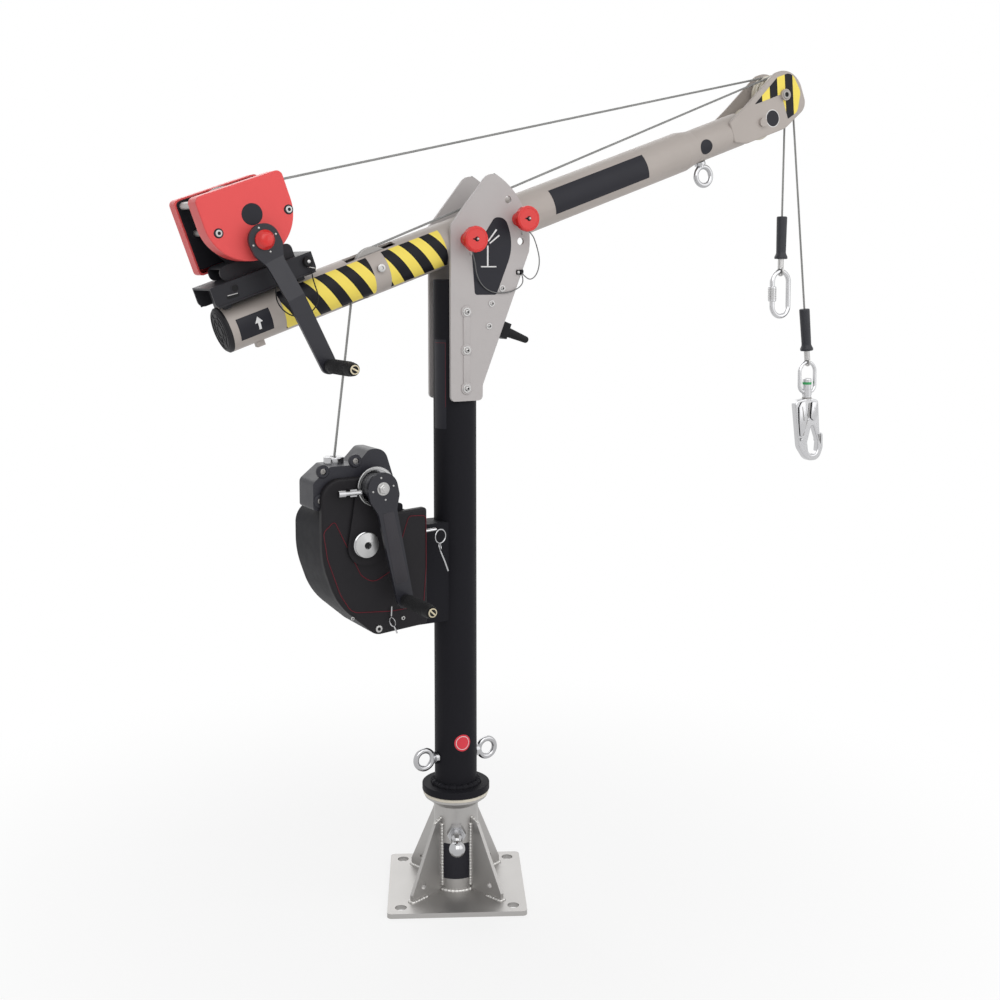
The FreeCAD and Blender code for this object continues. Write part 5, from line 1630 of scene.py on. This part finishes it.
@dataclass(frozen=True)
class Wheel:
    """A wheel that a rope runs over, in the davit's XZ plane."""

    centre: Vector
    radius: float

    @classmethod
    def on_boom(cls, place: Point, radius: float) -> "Wheel":
        """Return a wheel at a place along the boom and above its middle line."""
        return cls(BOOM @ Vector((place[0], 0, place[1])), radius)

    def point(self, degrees: float) -> Vector:
        """Return the rope's place on the wheel at an angle."""
        angle = math.radians(degrees)
        return self.centre + Vector((math.cos(angle), 0, math.sin(angle))) * self.radius

    def over(self, other: "Wheel") -> float:
        """Return the angle at which a rope leaves this wheel to run over another.

        Args:
            other: The wheel that it runs to.

        Returns:
            The angle in degrees.
        """
        span = other.centre - self.centre
        lean = math.acos((self.radius - other.radius) / span.length)
        return math.degrees(math.atan2(span.z, span.x) + lean)

    def under(self, end: Vector) -> float:
        """Return the angle, counted from a full turn, at which a rope from below meets this wheel."""
        span = end - self.centre
        return 360 + math.degrees(math.atan2(span.z, span.x) - math.acos(self.radius / span.length))

    def arc(self, start: float, end: float, step: float = 6.0) -> list[Vector]:
        """Return points of the rope round the wheel between two angles."""
        count = max(2, int(abs(end - start) / step))
        return [self.point(start + (end - start) * index / count) for index in range(count + 1)]


@dataclass
class Ropes(SubAssembly):
    """The winch's rope and the retriever's rope, with their sleeves and thimbles."""

    finishes: Finishes = field(default_factory=lambda: {
        SLEEVE_BLACK: ("rope_sleeves",),
        ZINC: ("rope_thimbles",),
    })
    sheave_radius: float = 47.0
    drum_radius: float = 46.0
    drum_wrap: float = 50.0
    pulley_radius: float = 40.0
    outlet: Spot = (-277.0, 0.0, 917.0)
    outlet_rise: float = 14.0
    winch_lean: float = -0.8
    winch_fall: float = 378.0
    hook_lean: float = 5.7
    hook_fall: float = 606.0
    lay: float = 34.0
    lay_steps: int = 10
    strands: int = 6
    core_share: float = 0.8
    core_stride: int = 3

    def dress(self) -> None:
        """Add both ropes along their runs."""
        sheave = Wheel.on_boom(SHEAVE, self.sheave_radius)
        drum = Wheel.on_boom(DRUM, self.drum_radius)
        leave = drum.over(sheave)
        winch_path = drum.arc(leave + self.drum_wrap, leave)
        winch_path += self._over_tip(sheave, leave, self.winch_lean, self.winch_fall)
        self._rope("winch_rope", winch_path, ROPE_SPREAD)
        pulley = Wheel.on_boom(PULLEY, self.pulley_radius)
        outlet = Vector(self.outlet)
        bend = outlet + Vector((0, 0, self.outlet_rise))
        leave = pulley.over(sheave)
        hook_path = [outlet, bend, *pulley.arc(pulley.under(bend), leave)]
        hook_path += self._over_tip(sheave, leave, self.hook_lean, self.hook_fall)
        self._rope("retriever_rope", hook_path, -ROPE_SPREAD)

    @staticmethod
    def _over_tip(sheave: Wheel, start: float, lean: float, fall: float) -> list[Vector]:
        """Return a rope's points over the tip sheave and down its fall.

        Args:
            sheave: The tip sheave.
            start: The angle in degrees at which the rope meets it.
            lean: The angle at which the rope leaves it, and by which its fall leans.
            fall: How long the fall is.

        Returns:
            The points, in order.
        """
        angle = math.radians(lean - 90)
        down = Vector((math.cos(angle), 0, math.sin(angle)))
        return sheave.arc(start, lean) + [sheave.point(lean) + down * fall]

    def _rope(self, node: str, path: list[Vector], side: float) -> None:
        """Add a rope of strands round a core along a path, in place of its plain CAD bar.

        Args:
            node: The CAD bar's name.
            path: The rope's middle line in the davit's XZ plane.
            side: How far the rope is from that plane.
        """
        fine = self._even(path, self.lay / self.lay_steps)
        rope = Form(shift(y=side))
        # The rope is three strands wide, so a strand's radius is a sixth of its width.
        strand = ROPE_DIAMETER / 6
        reach = ROPE_DIAMETER / 2 - strand
        rope.bar([*fine[::self.core_stride], fine[-1]], reach * self.core_share, sides=1)
        for index in range(self.strands):
            points = []
            for step, middle in enumerate(fine):
                ahead = fine[min(step + 1, len(fine) - 1)] - fine[max(step - 1, 0)]
                out = ahead.cross(Vector((0, 1, 0))).normalized()
                angle = 2 * math.pi * (step / self.lay_steps + index / self.strands)
                across = Vector((0, reach * math.sin(angle), 0))
                points.append(middle + out * (reach * math.cos(angle)) + across)
            rope.bar(points, strand, sides=1)
        piece = self.add(rope, f"{node}_strands", ROPE, Slot.WIRE_ROPE, smooth=ROPE_SMOOTH_ANGLE)
        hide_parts(node)

    @staticmethod
    def _even(path: list[Vector], spacing: float) -> list[Vector]:
        """Return points at a nearly even spacing along a path.

        Args:
            path: The path's corners, which are kept.
            spacing: How far apart the points are, about.

        Returns:
            The points, in order.
        """
        points = [path[0]]
        for start, end in zip(path, path[1:]):
            span = end - start
            count = max(1, round(span.length / spacing))
            points += [start + span * (step / count) for step in range(1, count + 1)]
        return points


@dataclass
class Carabiner(SubAssembly):
    """The carabiner on the winch's rope, with its screw sleeve."""

    finishes: Finishes = field(default_factory=lambda: {
        SILVER: ("carabiner", "screw_sleeve"),
    })
    knurls: int = 6
    knurl_start: float = 6.5
    knurl_pitch: float = 4.6
    knurl_halves: Point = (1.5, 0.8)
    knurl_sink: float = 0.3
    knurl_rise: float = 0.6

    def dress(self) -> None:
        """Add the knurled bands to the screw sleeve."""
        low, high = (Vector(corner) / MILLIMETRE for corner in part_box("screw_sleeve"))
        middle = (low + high) / 2
        radius = (high.x - low.x) / 2
        wide, narrow = self.knurl_halves
        band = Rib((radius - self.knurl_sink, wide), (radius + self.knurl_rise, narrow), steps=32)
        knurl = Form(shift(middle.x, middle.y, low.z))
        for row in range(self.knurls):
            band.add_to(knurl, self.knurl_start + row * self.knurl_pitch)
        self.add(knurl, "screw_sleeve_knurl", ZINC, Slot.ZINC)


@dataclass
class SnapHook(SubAssembly):
    """The swivelling snap hook on the retriever's rope."""

    body: Body = Body.HOOK
    finishes: Finishes = field(default_factory=lambda: {
        SILVER: ("swivel_link", "snap_hook"),
    })
    link_end: float = 7.0
    band: Profile = ((10.5, 18), (10.9, 18.4), (10.9, 23.6), (10.5, 24))
    face: float = 10.5
    lever: Corners = ((-33, -36, 4), (-25, -23, 4), (-13, -23, 3), (-7, -62, 8),
                      (-17, -104, 4), (-27, -108, 4), (-31, -76, 20))
    gate: Corners = ((8, -24, 3), (24, -26, 4), (27, -54, 6), (16, -72, 4), (4, -62, 6))
    plate_thick: float = 1.6
    plate_bevel: float = 0.5
    rivets: tuple[Point, ...] = ((-4, -66), (16, -38), (-23, -114))
    rivet: Profile = ((0, 2.4), (2.6, 2), (3.8, 0))
    grooves: tuple[Profile, ...] = (
        ((-24, -34), (-18, -68)),
        ((2, -26), (-1, -54), (-13, -88), (-20, -104)),
        ((33, -104), (36, -122)),
    )
    groove_radius: float = 0.9
    groove_stand: float = 10.6
    lever_edge: float = -14.0
    lever_stand: float = 12.2
    neck: Profile = ((7.6, -13), (11.4, -13), (11.4, -16), (7.6, -16))

    def dress(self) -> None:
        """Add the green band, the lever and gate plates, the rivets, dark bars of painted shade along the
        grooves and a dull band round the neck.
        """
        low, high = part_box("swivel_link")
        across = (low[0] + high[0]) / 2 / MILLIMETRE
        hook = shift(across, -ROPE_SPREAD, low[2] / MILLIMETRE + self.link_end)
        self.add(Form(hook).lathe(self.band), "hook_band", BAND_GREEN, Slot.ZINC)
        plates = Form(hook)
        grooves = Form(hook)
        for side in Side:
            self._plates(plates, side)
            # Dark bars along the grooves are painted shade.
            for line in self.grooves:
                points = [(x, side.value * self._stand(x), z) for x, z in line]
                grooves.bar(points, self.groove_radius, sides=2)
        self.add(plates, "hook_lever", SILVER, Slot.ZINC)
        grooves.lathe(self.neck)
        self.add(grooves, "hook_groove_shade_and_neck", BOLT_GREY, Slot.ZINC)

    def _stand(self, across: float) -> float:
        """Return how far a groove's point is from the hook's middle plane, which is more on the lever."""
        return self.lever_stand if across < self.lever_edge else self.groove_stand

    def _plates(self, form: Form, side: Side) -> None:
        """Add one side's lever, gate and rivets to a piece.

        Args:
            form: The piece.
            side: The side.
        """
        cheek = shift(y=side.value * self.face) @ side.face
        for corners in (self.lever, self.gate):
            outline = [(x, side.up * z) for x, z in rounded(corners, 5)][::side.up]
            form.plate(outline, self.plate_thick, cheek, self.plate_bevel)
        for x, z in self.rivets:
            form.lathe(self.rivet, shift(x, side.value * self.face, z) @ side.face, steps=24)


@dataclass(frozen=True)
class Lanyard:
    """A slack wire that keeps a pin with the davit, along its route in metres."""

    name: str
    origin: Spot
    route: tuple[Spot, ...]
    length: float
    finish: Finish = LANYARD_WIRE
    diameter: float = 0.0024

    def build(self) -> list[bpy.types.Object]:
        """Make the lanyard a smooth spline in place of its CAD tube.

        Returns:
            The lanyard, as the only piece.
        """
        line = bpy.data.curves.new(self.name, "CURVE")
        line.dimensions = "3D"
        line.bevel_depth = self.diameter / 2
        line.bevel_resolution = 3
        line.use_fill_caps = True
        line.resolution_u = 16
        spline = line.splines.new("NURBS")
        spline.points.add(len(self.route) - 1)
        start = Vector(self.origin)
        for target, offset in zip(spline.points, self.route):
            target.co = (*(start + Vector(offset)), 1)
        spline.order_u = 3
        spline.use_endpoint_u = True
        line.materials.append(self.finish.material())
        piece = bpy.data.objects.new(f"{self.name}_wire", line)
        bpy.context.collection.objects.link(piece)
        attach(piece, Body.MAST.value)
        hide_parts(self.name)
        return [piece]


LANYARDS = (
    Lanyard("lock_pin_lanyard", (0, -0.05075, 1.371), (
        (0.121, -0.015, 0.0273), (0.145, -0.015, 0.017), (0.158, -0.015, -0.011),
        (0.166, -0.015, -0.043), (0.16, -0.013, -0.071), (0.146, -0.009, -0.083),
        (0.132, -0.006, -0.073), (0.127, -0.003, -0.065),
    ), 0.159),
    Lanyard("pivot_pin_lanyard", (0, -0.05075, 1.371), (
        (0.002, -0.015, -0.0154), (0.014, -0.011, -0.041), (0.02, -0.006, -0.071),
        (0.036, -0.003, -0.095), (0.058, -0.0025, -0.107), (0.084, -0.0025, -0.109),
        (0.108, -0.003, -0.105), (0.127, -0.004, -0.095), (0.133, -0.004, -0.081),
        (0.128, -0.003, -0.069),
    ), 0.21),
    Lanyard("rail_pin_lanyard", (-0.432826, -0.054, 1.311083), (
        (0.091, -0.01, 0.009), (0.095, -0.008, -0.014), (0.103, -0.005, -0.034),
        (0.109, -0.004, -0.05), (0.107, -0.004, -0.066), (0.097, -0.003, -0.08),
        (0.079, -0.0025, -0.089), (0.058, -0.002, -0.089), (0.04, -0.0018, -0.079),
        (0.028, -0.0016, -0.064), (0.024, -0.0014, -0.047), (0.025, -0.0013, -0.03),
    ), 0.208, LANYARD_BLACK),
)


@dataclass(frozen=True)
class Lamp:
    """A soft square lamp, with its place and size in metres and its power in watts."""

    name: str
    place: Spot
    size: float
    power: float

    def build(self, target: Spot) -> None:
        """Make the lamp.

        Args:
            target: The point that it shines at.
        """
        lamp = bpy.data.lights.new(self.name, "AREA")
        lamp.energy = self.power
        lamp.size = self.size
        holder = bpy.data.objects.new(self.name, lamp)
        aim = Vector(target) - Vector(self.place)
        holder.matrix_world = looking(self.place, aim)
        bpy.context.collection.objects.link(holder)


@dataclass
class Studio:
    """The camera at the photograph's angle, the pale floor and the soft lamps, in metres."""

    eye: Spot = (-1.3087, -2.4636, 1.3084)
    bearing: float = 29.9
    pitch: float = 4.63
    lens: float = 48.66
    sensor: float = 36.0
    drop: float = -0.12
    light_level: float = 0.45
    aim: Spot = (0.0, 0.0, 0.9)
    lamps: tuple[Lamp, ...] = (
        Lamp("key", (-1.2, -3.4, 3.6), 4.2, 90.0),
        Lamp("fill", (2.4, -2.8, 2.4), 3.6, 36.0),
        Lamp("rim", (0.6, 3.0, 3.2), 3.6, 46.0),
    )
    floor_radius: float = 14.0
    floor_grey: float = 0.86
    floor_roughness: float = 0.8
    fade_from: Point = (0.3, 1.6)
    fade_to: Point = (0.72, 1.0)

    def camera(self) -> None:
        """Make the camera."""
        data = bpy.data.cameras.new("photo_camera")
        data.lens = self.lens
        data.sensor_width = self.sensor
        data.shift_y = self.drop
        camera = bpy.data.objects.new("photo_camera", data)
        heading = math.radians(self.bearing)
        tilt = math.radians(self.pitch)
        level = math.cos(tilt)
        forward = Vector((math.sin(heading) * level, math.cos(heading) * level, -math.sin(tilt)))
        camera.matrix_world = looking(self.eye, forward)
        bpy.context.collection.objects.link(camera)
        bpy.context.scene.camera = camera

    def build(self) -> None:
        """Make the floor, the white surroundings and the lamps."""
        bpy.context.scene.view_settings.view_transform = "Standard"
        self._floor()
        self._world()
        for lamp in self.lamps:
            lamp.build(self.aim)

    def _floor(self) -> None:
        """Make a wide pale floor that is nearly white to the camera and keeps a soft shadow."""
        part = bmesh.new()
        bmesh.ops.create_circle(part, cap_ends=True, segments=96, radius=self.floor_radius)
        store = bpy.data.meshes.new("floor")
        part.to_mesh(store)
        part.free()
        surface = Surface("pale_floor")
        surface.set(Base_Color=(*[self.floor_grey] * 3, 1), Roughness=self.floor_roughness)
        reach = surface.node("ShaderNodeVectorMath", {0: surface.place()}, operation="LENGTH")
        ends = {"From Min": self.fade_from[0], "From Max": self.fade_from[1],
                "To Min": self.fade_to[0], "To Max": self.fade_to[1]}
        fade = surface.node("ShaderNodeMapRange", {"Value": reach.outputs["Value"], **ends},
                            interpolation_type="SMOOTHSTEP")
        white = surface.node("ShaderNodeEmission", {"Color": (1, 1, 1, 1), "Strength": 1.0})
        share = surface.maths("MULTIPLY", self._seen(surface), fade.outputs[0])
        self._show(surface, share, surface.shader, white, surface.output)
        store.materials.append(surface.material)
        floor = bpy.data.objects.new("floor", store)
        bpy.context.collection.objects.link(floor)

    def _world(self) -> None:
        """Make the surroundings plain light, and white where the camera or a reflection sees them."""
        world = bpy.data.worlds.new("studio")
        bpy.context.scene.world = world
        world.use_nodes = True
        graph = Graph(world.node_tree)
        light = world.node_tree.nodes["Background"]
        graph.feed(light, "Color", (1, 1, 1, 1))
        graph.feed(light, "Strength", self.light_level)
        white = graph.node("ShaderNodeBackground", {"Color": (1, 1, 1, 1), "Strength": 1.0})
        self._show(graph, self._seen(graph), light, white, world.node_tree.nodes["World Output"])

    @staticmethod
    def _seen(graph: Graph) -> Socket:
        """Return 1 for camera, glossy and transmission rays, and 0 for others.

        Args:
            graph: The node tree.

        Returns:
            The value's socket.
        """
        path = graph.node("ShaderNodeLightPath")
        seen = path.outputs["Is Camera Ray"]
        for other in ("Is Glossy Ray", "Is Transmission Ray"):
            seen = graph.maths("MAXIMUM", seen, path.outputs[other])
        return seen

    @staticmethod
    def _show(graph: Graph, share: Socket, plain: bpy.types.Node, white: bpy.types.Node,
              output: bpy.types.Node) -> None:
        """Link an output to a plain shader with a share of a white one."""
        mix = graph.node("ShaderNodeMixShader", {0: share, 1: plain.outputs[0], 2: white.outputs[0]})
        graph.feed(output, "Surface", mix.outputs[0])


def main() -> None:
    """Dress the whole davit, report its pieces and set up the studio."""
    logging.basicConfig(level=logging.INFO)
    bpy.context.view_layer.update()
    studio = Studio()
    studio.camera()
    winch_crank = Crank(name="winch", place=WINCH_CRANK, body=Body.WINCH_CRANK, grip_body=Body.WINCH_GRIP,
                        length=261.0, step=18.0, rivet_radius=24.0, panel=False)
    retriever_crank = Crank(name="retriever", place=RETRIEVER_CRANK, body=Body.RETRIEVER_CRANK,
                            grip_body=Body.RETRIEVER_GRIP, length=228.0, step=0.0, rivet_radius=22.0,
                            panel=True)
    knobs = (Knob(name="pivot", along=0.0), Knob(name="lock", along=LOCK_ALONG))
    parts = (*LANYARDS, Base(), Mast(), Head(), *knobs, Boom(), BoomTip(), Winch(), Rail(), winch_crank,
             Retriever(), retriever_crank, Ropes(), Carabiner(), SnapHook())
    for part in parts:
        for piece in part.build():
            log.info("%s added %s", type(part).__name__, piece.name)
    studio.build()


if __name__ == "__main__":
    main()
